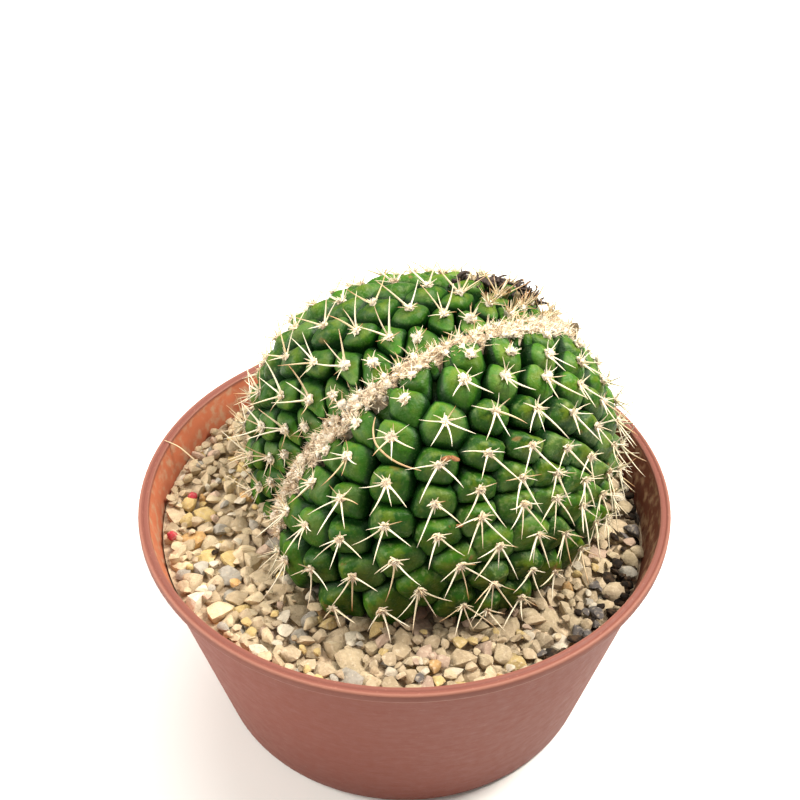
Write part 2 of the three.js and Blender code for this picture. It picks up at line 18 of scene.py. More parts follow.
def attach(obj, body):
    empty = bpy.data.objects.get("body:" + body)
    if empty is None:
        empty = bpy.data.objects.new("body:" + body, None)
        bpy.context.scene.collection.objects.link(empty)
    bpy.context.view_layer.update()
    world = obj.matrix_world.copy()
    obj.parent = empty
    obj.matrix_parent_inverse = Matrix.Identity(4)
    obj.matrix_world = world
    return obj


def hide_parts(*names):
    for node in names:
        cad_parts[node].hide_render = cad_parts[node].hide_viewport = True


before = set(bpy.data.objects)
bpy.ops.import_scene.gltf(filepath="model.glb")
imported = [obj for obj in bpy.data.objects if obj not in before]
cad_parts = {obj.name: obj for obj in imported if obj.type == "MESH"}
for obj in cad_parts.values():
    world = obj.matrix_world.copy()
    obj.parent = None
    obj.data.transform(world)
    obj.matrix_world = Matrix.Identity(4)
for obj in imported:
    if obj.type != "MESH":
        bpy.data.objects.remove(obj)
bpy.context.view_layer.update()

log = logging.getLogger("potted_cactus")
logging.basicConfig(level=logging.INFO, format="%(name)s: %(message)s")

Span = tuple[float, float]
Triple = tuple[float, float, float]
Paint = tuple[float, float, float, float]
Painted = tuple[Vector, Paint]
Bend = Callable[[Vector], Painted]
BMesh = bmesh.types.BMesh
Mesh = bpy.types.Mesh
Material = bpy.types.Material
Socket = bpy.types.NodeSocket

MM = 0.001
UP = Vector((0.0, 0.0, 1.0))
FULL_TURN = 2 * math.pi
PLAIN: Paint = (0.0, 0.0, 0.0, 0.0)


# Sizes shared with the solids, in millimetres

RIM_RADIUS = 70.0
POT_HEIGHT = 65.0
LIP_DEPTH = 2.4
LIP_OVERHANG = 1.8
BASE_RADIUS = 54.0
WALL = 1.45
FLOOR = 2.2
SOIL_TOP = 48.6
GRAVEL_TOP = 55.5
GRAVEL_SLOPE = -0.03
MOUND_CENTRE = Vector((5.0, 5.0, GRAVEL_TOP + 8.0))
LINE_STEPS = 240
FLANK_STEPS = 89


def gravel_height(x: float) -> float:
    """Height of the gravel's surface, which sinks a little to the right."""
    return GRAVEL_TOP + GRAVEL_SLOPE * x


def wall_outer(height: float) -> float:
    """Outer radius of the pot's wall at a height."""
    top = RIM_RADIUS - LIP_OVERHANG
    return BASE_RADIUS + (top - BASE_RADIUS) * height / (POT_HEIGHT - LIP_DEPTH)


def wall_inner(height: float) -> float:
    """Inner radius of the pot's wall at a height."""
    return wall_outer(height) - WALL


def clamp(value: float, low: float = 0.0, high: float = 1.0) -> float:
    """The value, kept between low and high."""
    return max(low, min(high, value))


def smooth(low: float, high: float, value: float) -> float:
    """A soft step from 0 at low to 1 at high."""
    part = clamp((value - low) / (high - low))
    return part * part * (3 - 2 * part)


class Draws:
    """A repeatable row of random numbers, the same as the solids use."""

    def __init__(self, seed: int) -> None:
        """Starts the row at a seed."""
        self.state = seed

    def one(self) -> float:
        """The next number between 0 and 1."""
        self.state = (self.state * 1664525 + 1013904223) % 4294967296
        return self.state / 4294967296

    def between(self, low: float, high: float) -> float:
        """The next number, between low and high."""
        return low + (high - low) * self.one()

    def way(self) -> Vector:
        """A random unit direction."""
        rise = self.between(-1, 1)
        turn = self.between(0, FULL_TURN)
        flat = math.sqrt(1 - rise * rise)
        return Vector((flat * math.cos(turn), flat * math.sin(turn), rise))

    def pick(self, choices: list, weights: list[float]) -> object:
        """One of the choices, drawn by weight."""
        mark = self.one() * sum(weights)
        for choice, weight in zip(choices, weights):
            mark -= weight
            if mark <= 0:
                return choice
        return choices[-1]


# Layout of the plant


@dataclass(frozen=True)
class Flank:
    """One side of the mound, from the growth line down to the flank's pole, and its rows."""

    pole: Vector
    left: float
    right: float
    height: float
    round_left: float
    round_right: float
    round_up: float
    pitches: Span
    sinks: float
    sinks_from: int
    rows: tuple[Span, ...]
    seed: int
    near: float = 43.0
    far: float = 46.0
    underside: float = 24.0

    def radius(self, way: Vector) -> float:
        """Distance of the dome's surface from the mound's centre along a unit way."""
        along = self.left if way.x < 0 else self.right
        across = self.near if way.y < 0 else self.far
        height = self.underside if way.z < 0 else self.height
        power = self.round_left if way.x < 0 else self.round_right
        plan = abs(way.x / along) ** power + abs(way.y / across) ** power
        rise = abs(way.z / height) ** self.round_up
        return (plan ** (self.round_up / power) + rise) ** (-1 / self.round_up)


FRONT = Flank(
    Vector((11, -43, -11)).normalized(), left=46, right=45, height=48,
    round_left=2.4, round_right=1.75, round_up=2.3, pitches=(11.9, 9.8), sinks=2.1, sinks_from=-2,
    rows=(
        (-4, 12), (1.5, 9), (6.7, 5.7), (11.6, 2.3), (17.2, -2.1), (23.6, -5.3), (29.1, -8.1), (35.1, -8.4),
        (44.5, -4.4), (54.7, -5.2), (63.7, -5.5), (72, -6),
    ),
    seed=0,
)
BACK = Flank(
    Vector((-12, 45, -11)).normalized(), left=44, right=41, height=47,
    round_left=2.2, round_right=2.2, round_up=2.2, pitches=(11.9, 11.9), sinks=-0.4, sinks_from=-8,
    rows=(
        (7.1, -2.6), (10.6, -8.2), (15.9, -2.2), (22.2, 3.6), (28.8, -2.3), (35.4, 3.6), (42, -2.3),
        (48.6, 3.6), (55.2, -2.3), (61.8, 3.6), (68.4, -2.3), (75, 3.6), (81.6, -2.3),
    ),
    seed=104729,
)

LINE_POINTS = (
    (-30, -12, -8), (-31, -12, 4), (-28, -10, 15), (-22.5, -11, 27), (-15, -13, 39),
    (-5, -13, 50), (8, -9, 56.5), (22, -1, 57), (34, 8, 52), (43, 17, 42), (47, 26, 28),
    (47, 33, 12), (44, 36, -8),
)


@dataclass(frozen=True)
class GrowthLine:
    """The woolly line over the mound that every row of tubercles follows."""

    points: tuple[Vector, ...]
    blend: float = math.radians(24)

    def at(self, fraction: float) -> Vector:
        """The point at a fraction of the line, on a uniform Catmull-Rom curve."""
        last = len(self.points) - 1
        mark = last * fraction
        index = min(int(mark), last - 1)
        part = mark - index
        p1, p2 = self.points[index], self.points[index + 1]
        p0 = self.points[index - 1] if index > 0 else 2 * p1 - p2
        p3 = self.points[index + 2] if index + 2 <= last else 2 * p2 - p1
        start, end = 0.5 * (p2 - p0), 0.5 * (p3 - p1)
        square, cube = part * part, part * part * part
        return (
            (2 * p1 - 2 * p2 + start + end) * cube
            + (3 * p2 - 3 * p1 - 2 * start - end) * square
            + start * part
            + p1
        )

    def frame(self, fraction: float) -> tuple[Vector, Vector, Vector]:
        """The point at a fraction, the way ahead along the line, and the way out of the mound."""
        here = self.at(fraction)
        ahead = (self.at(fraction + 0.01) - self.at(fraction - 0.01)).normalized()
        return here, ahead, (here - MOUND_CENTRE).normalized()

    def on_flank(self, fraction: float, down: float, flank: Flank) -> Vector:
        """The flank's surface on the great circle from the line to the flank's pole.

        Args:
            fraction: Place along the growth line, 0 to 1.
            down: Place between the line, 0, and the pole, 1.
            flank: The flank to stand on.

        Returns:
            The point on the surface.
        """
        spoke = self.at(fraction) - MOUND_CENTRE
        reach = spoke.length
        start = spoke / reach
        arc = math.acos(clamp(start.dot(flank.pole), -1, 1))
        turn = arc * down
        way = start * (math.sin(arc - turn) / math.sin(arc))
        way = way + flank.pole * (math.sin(turn) / math.sin(arc))
        ridge = (reach - flank.radius(start)) * math.exp(-((turn / self.blend) ** 2))
        return way * (flank.radius(way) + ridge) + MOUND_CENTRE


LINE = GrowthLine(tuple(Vector((x, y, GRAVEL_TOP + z)) for x, y, z in LINE_POINTS))


POD_FROM, POD_TO = 0.722, 0.768


def by_pod(fraction: float) -> bool:
    """Whether a place on the growth line is where the seed pod stands."""
    return POD_FROM < fraction < POD_TO


class Salt(Enum):
    """Keeps a tubercle's rows of random numbers apart; the first is the solids' own."""

    SOLID = 0
    BODY = 11
    LOOKS = 31
    WOOL = 211
    FURTHER = 977
    HOOKS = 1543
    BURST = 2711
    CROWD = 3301


@dataclass
class Spot:
    """A place on a flank, and the tubercle that stands there."""

    position: Vector
    down: Vector
    normal: Vector
    at: float = 0.0
    distance: float = 0.0
    front: bool = True
    seed: int = 0
    swell: float = 1.0
    tall: float = 6.0
    newest: bool = False

    @property
    def young(self) -> float:
        """Youth, from 1 beside the line to 0 when grown."""
        return 1 - clamp((self.distance - 4) / 26)

    @property
    def height(self) -> float:
        """Height of the tubercle before its own chance."""
        part = clamp(0.45 + 0.1 * self.distance) if self.newest else 1.0
        return (3.2 + 3.0 * (1 - self.young ** 2)) * part

    @property
    def size(self) -> float:
        """Breadth of the tubercle, against a grown one."""
        part = clamp(0.4 + 0.09 * self.distance) if self.newest else 1.0
        return (1 - 0.3 * self.young) * part

    @property
    def lean(self) -> float:
        """Lean away from the growth line, from the youngest tubercles to the grown ones."""
        return math.radians(-36 + 42 * clamp((self.distance - 6) / 25))

    def draws(self, salt: Salt) -> Draws:
        """A row of random numbers of the tubercle's own."""
        return Draws(self.seed + salt.value)

    def leaning(self, angle: float) -> Vector:
        """The normal, leaned downhill by an angle."""
        return self.normal * math.cos(angle) + self.down * math.sin(angle)

    @property
    def side(self) -> Vector:
        """The level way along the row."""
        return self.down.cross(self.normal)

    @property
    def axis(self) -> Vector:
        """The tubercle's own leaning axis."""
        return self.leaning(self.lean)

    @property
    def areole_axis(self) -> Vector:
        """The way that the areole faces."""
        return self.leaning(self.lean + math.radians(14))

    @property
    def areole_down(self) -> Vector:
        """Downhill, in the areole's plane."""
        return self.areole_axis.cross(self.side)

    @property
    def tip(self) -> Vector:
        """The areole's place at the tubercle's tip."""
        return self.position + self.axis * self.tall

    def way(self, angle: float, rise: float) -> Vector:
        """A way out of the areole, at an angle round its axis and a rise over its plane."""
        flat = self.side * math.cos(angle) + self.areole_down * math.sin(angle)
        return flat * math.cos(rise) + self.areole_axis * math.sin(rise)


class Surface:
    """A flank, sampled once along the line and down to the pole."""

    def __init__(self, flank: Flank, front: bool) -> None:
        """Samples the flank's meridians."""
        self.flank = flank
        self.front = front
        self.meridians = [
            [LINE.on_flank(i / LINE_STEPS, j / FLANK_STEPS, flank) for j in range(FLANK_STEPS + 1)]
            for i in range(LINE_STEPS + 1)
        ]

    def spot(self, i: int, distance: float) -> Spot | None:
        """The spot at a surface distance from the growth line, or None past the pole."""
        meridian = self.meridians[i]
        walked = 0.0
        for j in range(FLANK_STEPS):
            step = (meridian[j + 1] - meridian[j]).length
            if walked + step >= distance:
                position = meridian[j].lerp(meridian[j + 1], (distance - walked) / step)
                down = (meridian[j + 1] - meridian[j]).normalized()
                before = self.meridians[max(i - 1, 0)][j]
                after = self.meridians[min(i + 1, LINE_STEPS)][j]
                normal = (after - before).cross(down).normalized()
                if normal.dot(position - MOUND_CENTRE) < 0:
                    normal = -normal
                return Spot(position, down, normal, i / LINE_STEPS, distance, self.front)
            walked += step
        return None

    def along(self, shift: float, distance: float) -> Spot | None:
        """The spot at a distance from the growth line, walked along it from its middle.

        Args:
            shift: How far to walk, to the left when negative.
            distance: Surface distance from the growth line.

        Returns:
            The spot, or None past the flank's end.
        """
        way = 1 if shift > 0 else -1
        i = LINE_STEPS // 2
        spot = self.spot(i, distance)
        walked = 0.0
        while spot and walked < abs(shift):
            i += way
            ahead = self.spot(i, distance) if 0 <= i <= LINE_STEPS else None
            if ahead:
                walked += (ahead.position - spot.position).length
            spot = ahead
        return spot


@dataclass
class Planting:
    """Every tubercle's place: rows beside the growth line, and columns a pitch apart."""

    columns: int = 8
    nearest: float = 5.5
    newest_from: float = 2.2
    lowest: float = 1.2
    swell: Span = (0.92, 1.08)
    seed: int = 907
    seed_step: int = 7919
    seed_row: int = 32
    surfaces: tuple[Surface, ...] = field(
        default_factory=lambda: (Surface(FRONT, True), Surface(BACK, False))
    )

    def tubercle(self, surface: Surface, row: int, column: int) -> Spot | None:
        """The tubercle in a row and a column, with its seeded size.

        Args:
            surface: The flank to stand on.
            row: The row's number, away from the growth line.
            column: The column's number, from the middle of the line.

        Returns:
            The spot, or None where no tubercle fits.
        """
        flank = surface.flank
        first, shift = flank.rows[row]
        distance = first + flank.sinks * max(column, flank.sinks_from)
        if distance <= self.newest_from:
            return None
        spot = surface.along(shift + column * flank.pitches[0 if column < 0 else 1], distance)
        if not spot:
            return None
        spot.newest = distance <= self.nearest
        drop = spot.normal.z * math.cos(spot.lean) + spot.down.z * math.sin(spot.lean)
        if min(spot.position.z, spot.position.z + spot.height * drop) < GRAVEL_TOP + self.lowest:
            return None
        place = self.seed_row * row + column + self.columns
        spot.seed = self.seed + self.seed_step * place + flank.seed
        draws = spot.draws(Salt.SOLID)
        spot.swell = draws.between(*self.swell)
        spot.tall = spot.height * draws.between(*self.swell)
        return spot

    def spots(self) -> list[Spot]:
        """Every tubercle that the solids have, row by row on both flanks."""
        places = [
            self.tubercle(surface, row, column)
            for surface in self.surfaces
            for row in range(len(surface.flank.rows))
            for column in range(-self.columns, self.columns + 1)
        ]
        return [spot for spot in places if spot]


# Making pieces


def shaped(build: Callable[[BMesh], object], name: str) -> Mesh:
    """Makes a small shape once, to be repeated.

    Args:
        build: Fills the empty bmesh.
        name: Name of the mesh that holds the shape.

    Returns:
        The shape as a mesh.
    """
    bm = bmesh.new()
    build(bm)
    mesh = bpy.data.meshes.new(name)
    bm.to_mesh(mesh)
    bm.free()
    return mesh


def placed(name: str, data: bpy.types.ID) -> bpy.types.Object:
    """A new object in the scene."""
    made = bpy.data.objects.new(name, data)
    bpy.context.scene.collection.objects.link(made)
    return made


class Piece:
    """Gathers bent copies of small shapes into one dressed object."""

    def __init__(self, name: str, slot: str, material: Material) -> None:
        """Starts an empty piece.

        Args:
            name: The object's name.
            slot: A material slot name; kept, but not used.
            material: The finish.
        """
        self.name = name
        self.slot = slot
        self.material = material
        self.bm = bmesh.new()
        self.paint = self.bm.verts.layers.float_color.new("paint")
        self.count = 0

    def add(self, shape: Mesh, bend: Bend | None = None, paint: Paint | None = None) -> None:
        """Adds a copy of a shape.

        Args:
            shape: The shape.
            bend: Moves and paints each corner; without it the shape stays as it is.
            paint: One paint for all corners, instead of the bend's.
        """
        start = self.count
        self.bm.from_mesh(shape)
        self.bm.verts.ensure_lookup_table()
        self.count = len(self.bm.verts)
        if bend is None:
            return
        for vert in self.bm.verts[start:]:
            vert.co, own = bend(vert.co)
            vert[self.paint] = own if paint is None else paint

    def spin(self, corners: list[tuple[float, float, Paint]], steps: int) -> None:
        """Turns a section round Z into a closed shape.

        Args:
            corners: Radius, height and paint of each corner, from axis to axis.
            steps: Steps of the full turn.
        """
        verts = []
        for radius, height, paint in corners:
            vert = self.bm.verts.new((radius, 0, height))
            vert[self.paint] = paint
            verts.append(vert)
        edges = [self.bm.edges.new(pair) for pair in zip(verts, verts[1:])]
        bmesh.ops.spin(
            self.bm, geom=verts + edges, cent=(0, 0, 0), axis=UP, angle=FULL_TURN, steps=steps, use_merge=True
        )
        bmesh.ops.remove_doubles(self.bm, verts=self.bm.verts, dist=0.001)

    def finish(self, *nodes: str, levels: int = 0, crisp: float = 0.0) -> bpy.types.Object:
        """Turns the piece into an object in metres and hands it to the frame.

        Args:
            nodes: The solids that the piece stands for.
            levels: Levels of subdivision.
            crisp: The angle in degrees from which edges stay sharp, or 0 for none.

        Returns:
            The finished object.
        """
        bmesh.ops.recalc_face_normals(self.bm, faces=self.bm.faces)
        bmesh.ops.scale(self.bm, vec=(MM, MM, MM), verts=self.bm.verts)
        mesh = bpy.data.meshes.new(self.name)
        self.bm.to_mesh(mesh)
        self.bm.free()
        for polygon in mesh.polygons:
            polygon.use_smooth = True
        if crisp:
            mesh.set_sharp_from_angle(angle=math.radians(crisp))
        mesh.materials.append(self.material)
        made = placed(self.name, mesh)
        if levels:
            rounding = made.modifiers.new("rounding", "SUBSURF")
            rounding.levels = levels
            rounding.render_levels = levels
        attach(made, "root")
        if nodes:
            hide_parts(*nodes)
        log.info("%s: %d triangles", self.name, sum(len(polygon.vertices) - 2 for polygon in mesh.polygons))
        return made


# Finishes


class Bench:
    """Lays out the nodes of one finish."""

    def __init__(self, name: str, roughness: float = 0.5, specular: float = 0.5) -> None:
        """Starts a material with one principled shader."""
        self.material = bpy.data.materials.new(name)
        self.material.use_nodes = True
        self.nodes = self.material.node_tree.nodes
        self.links = self.material.node_tree.links
        self.shader = self.nodes["Principled BSDF"]
        self.shader.inputs["Roughness"].default_value = roughness
        self.shader.inputs["Specular IOR Level"].default_value = specular
        self.place = self.nodes.new("ShaderNodeTexCoord").outputs["Object"]
        self.normal = None

    def put(self, socket: Socket, value: object) -> None:
        """Links a socket, or sets its value."""
        if isinstance(value, Socket):
            self.links.new(value, socket)
        elif isinstance(value, tuple) and socket.type == "RGBA":
            socket.default_value = (*value, 1.0)
        else:
            socket.default_value = value

    def node(self, kind: str, inputs: dict[object, object], **settings: object) -> bpy.types.Node:
        """A new node with its settings, and its inputs linked or set."""
        made = self.nodes.new(kind)
        for name, value in settings.items():
            setattr(made, name, value)
        for name, value in inputs.items():
            self.put(made.inputs[name], value)
        return made

    def paint(self) -> list[Socket]:
        """The piece's paint: red, green, blue, alpha, and the colour whole."""
        source = self.node("ShaderNodeAttribute", {}, attribute_name="paint").outputs
        parts = self.node("ShaderNodeSeparateColor", {"Color": source["Color"]}).outputs
        return [*parts[:3], source["Alpha"], source["Color"]]

    def noise(self, size: float, detail: float = 3.0, stretch: Triple | None = None) -> Socket:
        """Cloudy noise, 0 to 1.

        Args:
            size: Size of its blotches in millimetres.
            detail: How many finer layers it has.
            stretch: Factors on the object's coordinates.
        """
        place = self.place
        if stretch:
            place = self.node("ShaderNodeMapping", {"Vector": place, "Scale": stretch}).outputs["Vector"]
        inputs = {"Vector": place, "Scale": 1.0 / (size * MM), "Detail": detail}
        return self.node("ShaderNodeTexNoise", inputs).outputs["Fac"]

    def ramp(self, value: Socket, low: float, high: float) -> Socket:
        """A soft step from 0 at low to 1 at high."""
        inputs = {"Value": value, "From Min": low, "From Max": high}
        return self.node("ShaderNodeMapRange", inputs, interpolation_type="SMOOTHSTEP").outputs["Result"]

    def blotches(
        self, size: float, detail: float, low: float, high: float, stretch: Triple | None = None
    ) -> Socket:
        """Noise, cut softly between low and high."""
        return self.ramp(self.noise(size, detail, stretch), low, high)

    def dots(self, apart: float, low: float, high: float) -> Socket:
        """Small dots round scattered points, some millimetres apart."""
        cells = self.node("ShaderNodeTexVoronoi", {"Vector": self.place, "Scale": 1.0 / (apart * MM)})
        return self.ramp(cells.outputs["Distance"], low, high)

    def work(self, way: str, first: object, second: object) -> Socket:
        """Two values worked together, such as by MULTIPLY or ADD, and kept from 0 to 1."""
        inputs = {0: first, 1: second}
        return self.node("ShaderNodeMath", inputs, operation=way, use_clamp=True).outputs["Value"]

    def mix(self, share: object, first: object, second: object, way: str = "MIX") -> Socket:
        """Two colours mixed."""
        inputs = {"Factor": share, 6: first, 7: second}
        return self.node("ShaderNodeMix", inputs, data_type="RGBA", blend_type=way).outputs[2]

    def coat(self, colour: object, over: object, *masks: object) -> Socket:
        """Lays a colour over another, as far as the product of the masks says."""
        share, *others = masks
        for mask in others:
            share = self.work("MULTIPLY", share, mask)
        return self.mix(share, colour, over)

    def bump(self, depth: float, size: float, detail: float = 3.0, stretch: Triple | None = None) -> None:
        """Adds noisy relief of a depth in millimetres to the shader's normal."""
        inputs = {"Strength": 1.0, "Distance": depth * MM, "Height": self.noise(size, detail, stretch)}
        if self.normal:
            inputs["Normal"] = self.normal
        self.normal = self.node("ShaderNodeBump", inputs).outputs["Normal"]

    def uneven_gloss(self, size: float, spread: float, least: float) -> None:
        """Lets the roughness vary by a spread above its least."""
        cloud = self.work("MULTIPLY", self.noise(size, 4.0), spread)
        self.put(self.shader.inputs["Roughness"], self.work("ADD", cloud, least))

    def done(self, colour: object) -> Material:
        """Links colour and relief, and hands the material over."""
        self.put(self.shader.inputs["Base Color"], colour)
        if self.normal:
            self.links.new(self.normal, self.shader.inputs["Normal"])
        return self.material


@dataclass(frozen=True)
class CactusSkin:
    """Waxy green skin: painted shade deep in the creases and on the undersides, lighter and yellower at the
    tips, dusty when old, with a pale bloom on the upper parts that is partly painted highlight.
    """

    deep: Triple = (0.006, 0.048, 0.0006)
    leaf: Triple = (0.019, 0.086, 0.0012)
    fresh: Triple = (0.036, 0.138, 0.002)
    olive: Triple = (0.125, 0.180, 0.007)
    dust: Triple = (0.195, 0.260, 0.090)
    cork: Triple = (0.180, 0.095, 0.025)
    # Painted shade: the colour of the creases between and beneath the tubercles.
    crease_shadow: Triple = (0.0006, 0.022, 0.0001)

    def material(self) -> Material:
        """The skin's nodes. Paint holds height, chance, age and painted shade."""
        bench = Bench("cactus_skin", 0.4, 0.22)
        height, chance, age, painted_shade, _ = bench.paint()
        colour = bench.mix(bench.blotches(4.5, 4.0, 0.36, 0.66), self.deep, self.leaf)
        for over, *masks in (
            (self.fresh, bench.ramp(chance, 0.25, 1.0), bench.ramp(height, 0.3, 0.8)),
            (self.fresh, bench.work("SUBTRACT", 0.65, age)),
            (self.dust, bench.blotches(1.3, 5.0, 0.5, 0.72), bench.work("MULTIPLY", age, 0.75)),
            (self.olive, bench.ramp(height, 0.62, 0.97), bench.blotches(3.0, 3.0, 0.42, 0.62), 0.7),
            (self.cork, bench.blotches(5.5, 6.0, 0.66, 0.72), age),
            # Painted shade: the undersides and the shaded regions of the body turn deep green.
            (self.deep, bench.ramp(painted_shade, 0.45, 0.95), 0.55),
            # Painted shade: the low parts of each tubercle and its seams take the crease colour.
            (self.crease_shadow, bench.ramp(height, 0.62, 0.30)),
            (self.dust, bench.dots(0.55, 0.30, 0.12), bench.blotches(2.2, 3.0, 0.4, 0.6), 0.22),
            # Partly waxy bloom, partly painted highlight: paler on the upper parts of the tubercles.
            (self.dust, bench.blotches(9.0, 3.0, 0.48, 0.70), bench.ramp(height, 0.45, 0.8), 0.22),
        ):
            colour = bench.coat(colour, over, *masks)
        bench.bump(0.10, 0.45)
        bench.bump(0.40, 2.2, 4.0)
        bench.uneven_gloss(1.8, 0.4, 0.30)
        return bench.done(colour)


@dataclass(frozen=True)
class Wool:
    """Felted wool: white when new, peach and beige with age, brown where it is dirty."""

    white: Triple = (0.90, 0.84, 0.73)
    peach: Triple = (0.82, 0.65, 0.48)
    beige: Triple = (0.63, 0.47, 0.32)
    brown: Triple = (0.24, 0.14, 0.06)

    def material(self) -> Material:
        """The wool's nodes. Paint holds age, chance and dirt."""
        bench = Bench("areole_wool", 1.0, 0.1)
        age, _, dirt, _, _ = bench.paint()
        colour = bench.mix(bench.ramp(age, 0.05, 1.0), self.white, self.peach)
        older = bench.work("ADD", bench.work("MULTIPLY", age, 0.6), 0.2)
        colour = bench.coat(colour, self.beige, bench.blotches(0.7, 4.0, 0.4, 0.7), older)
        colour = bench.coat(colour, self.brown, dirt, bench.blotches(1.6, 4.0, 0.42, 0.62))
        bench.bump(0.3, 0.28)
        return bench.done(colour)


@dataclass(frozen=True)
class SpineHorn:
    """Horny spines: cream, some golden with amber tips."""

    cream: Triple = (0.80, 0.68, 0.46)
    pale: Triple = (0.88, 0.82, 0.66)
    golden: Triple = (0.52, 0.36, 0.17)
    amber: Triple = (0.42, 0.17, 0.05)

    def material(self) -> Material:
        """The spines' nodes. Paint holds the place along the spine, chance and amber."""
        bench = Bench("spine_horn")
        along, chance, amber, _, _ = bench.paint()
        colour = bench.mix(chance, self.cream, self.pale)
        colour = bench.coat(colour, self.golden, bench.ramp(amber, 0.3, 1.0), 0.8)
        colour = bench.coat(colour, self.amber, amber, bench.ramp(along, 0.5, 1.0))
        colour = bench.coat(colour, self.amber, bench.blotches(0.9, 4.0, 0.5, 0.8), 0.25)
        bench.bump(0.03, 0.3, 2.0)
        return bench.done(colour)


@dataclass(frozen=True)
class StoneFace:
    """Dry gravel: each stone's own colour, mottled and dusty."""

    name: str = "gravel_stone"
    dust: Triple = (0.60, 0.50, 0.37)
    dark: Triple = (0.24, 0.175, 0.115)

    def material(self) -> Material:
        """The stones' nodes. Paint holds the stone's colour."""
        bench = Bench(self.name, 0.85)
        own = bench.paint()[-1]
        darker = bench.mix(0.3, own, self.dark, "MULTIPLY")
        colour = bench.mix(bench.blotches(1.6, 5.0, 0.3, 0.75), own, darker)
        colour = bench.coat(colour, self.dust, bench.blotches(0.9, 5.0, 0.5, 0.75), 0.5)
        colour = bench.coat(colour, self.dark, bench.dots(0.75, 0.26, 0.10), 0.55)
        bench.bump(0.12, 0.35, 4.0)
        bench.bump(0.35, 1.5)
        return bench.done(colour)


@dataclass(frozen=True)
class Terracotta:
    """Matte moulded plastic: pinkish on the rim, redder on the wall, with dust inside. Rim and outside are a
    darker copy of the inner wall's colour, and the inner wall is darker on its right: painted shade.
    """

    # Painted shade: rim and outside are darker copies of the inner wall's plastic.
    rim: Triple = (0.178, 0.060, 0.044)
    shaded_outside: Triple = (0.18, 0.052, 0.036)
    wall: Triple = (0.44, 0.132, 0.066)
    # Painted shade on the inner wall's right side.
    wall_shade: Triple = (0.16, 0.045, 0.025)
    scuff: Triple = (0.34, 0.16, 0.115)
    dust: Triple = (0.42, 0.24, 0.15)

    def material(self) -> Material:
        """The plastic's nodes. Paint holds rim, inside, edge and painted shade on the inner wall's right
        side.
        """
        bench = Bench("terracotta_plastic", 0.55, 0.2)
        rim, inside, edge, wall_shade, _ = bench.paint()
        wall = bench.mix(wall_shade, self.wall, self.wall_shade)
        colour = bench.mix(inside, bench.mix(rim, self.shaded_outside, self.rim), wall)
        colour = bench.coat(colour, self.rim, bench.blotches(9.0, 4.0, 0.4, 0.7), 0.2)
        colour = bench.coat(colour, self.scuff, bench.blotches(1.2, 5.0, 0.62, 0.72, (1, 1, 7)), 0.35)
        colour = bench.coat(colour, self.scuff, edge, 0.45)
        colour = bench.coat(colour, self.dust, inside, bench.blotches(3.0, 6.0, 0.45, 0.7))
        bench.bump(0.03, 0.4)
        bench.bump(0.12, 6.0, 2.0, (1, 1, 3))
        bench.uneven_gloss(2.5, 0.3, 0.42)
        return bench.done(colour)


@dataclass(frozen=True)
class Humus:
    """Dark, crumbly potting soil."""

    black: Triple = (0.012, 0.009, 0.007)
    brown: Triple = (0.06, 0.036, 0.02)

    def material(self) -> Material:
        """The soil's nodes."""
        bench = Bench("potting_soil", 0.95, 0.2)
        colour = bench.mix(bench.blotches(1.4, 5.0, 0.38, 0.68), self.black, self.brown)
        bench.bump(0.6, 0.8, 5.0)
        return bench.done(colour)


@dataclass(frozen=True)
class DryHusk:
    """Dried flowers and their remains: papery, streaked along their length."""

    name: str
    light: Triple
    dark: Triple
    roughness: float = 0.7
    streak: Triple = (2.2, 2.2, 0.6)

    def material(self) -> Material:
        """The husk's nodes. Paint holds the place along the husk."""
        bench = Bench(self.name, self.roughness)
        along = bench.paint()[0]
        colour = bench.mix(bench.blotches(0.8, 4.0, 0.35, 0.7, self.streak), self.dark, self.light)
        colour = bench.coat(colour, self.dark, bench.ramp(along, 0.75, 1.0))
        bench.bump(0.25, 0.6, 3.0, self.streak)
        return bench.done(colour)


# Small shapes


def bud(sides: int) -> Mesh:
    """A closed unit bud on Z, from -1 to 1, with rings closer where it shows."""
    heights = (-0.7, -0.25, 0.05, 0.22, 0.36, 0.48, 0.58, 0.67, 0.75, 0.82, 0.88, 0.93, 0.97)
    turns = [FULL_TURN * side / sides for side in range(sides)]

    def build(bm: BMesh) -> None:
        """Makes the rings and closes them to both tips."""
        rings = [
            [bm.verts.new((math.cos(turn), math.sin(turn), height)) for turn in turns] for height in heights
        ]
        for low, high in zip(rings, rings[1:]):
            for side in range(sides):
                after = (side + 1) % sides
                bm.faces.new((low[side], low[after], high[after], high[side]))
        for ring, height in ((rings[0], -1), (rings[-1], 1)):
            tip = bm.verts.new((0, 0, height))
            for side in range(sides):
                bm.faces.new((ring[side], ring[(side + 1) % sides], tip))

    return shaped(build, "bud")


def ball(splits: int) -> Mesh:
    """A unit ball of even triangles."""
    return shaped(lambda bm: bmesh.ops.create_icosphere(bm, subdivisions=splits, radius=1.0), "ball")


def sheet(across: int, along: int) -> Mesh:
    """A flat square from -1 to 1, cut into cells."""
    return shaped(
        lambda bm: bmesh.ops.create_grid(bm, x_segments=across, y_segments=along, size=1.0), "sheet"
    )


def horn(sides: int, cuts: int) -> Mesh:
    """A straight rod of radius 1 up Z, from 0 to 1, cut along its length."""

    def build(bm: BMesh) -> None:
        """Makes the rod and cuts its length."""
        bmesh.ops.create_cone(
            bm, cap_ends=True, cap_tris=True, segments=sides, radius1=1.0, radius2=1.0, depth=1.0,
            matrix=Matrix.Translation((0, 0, 0.5)),
        )
        long = [edge for edge in bm.edges if abs(edge.verts[0].co.z - edge.verts[1].co.z) > 0.5]
        bmesh.ops.subdivide_edges(bm, edges=long, cuts=cuts)

    return shaped(build, "horn")


# Spines


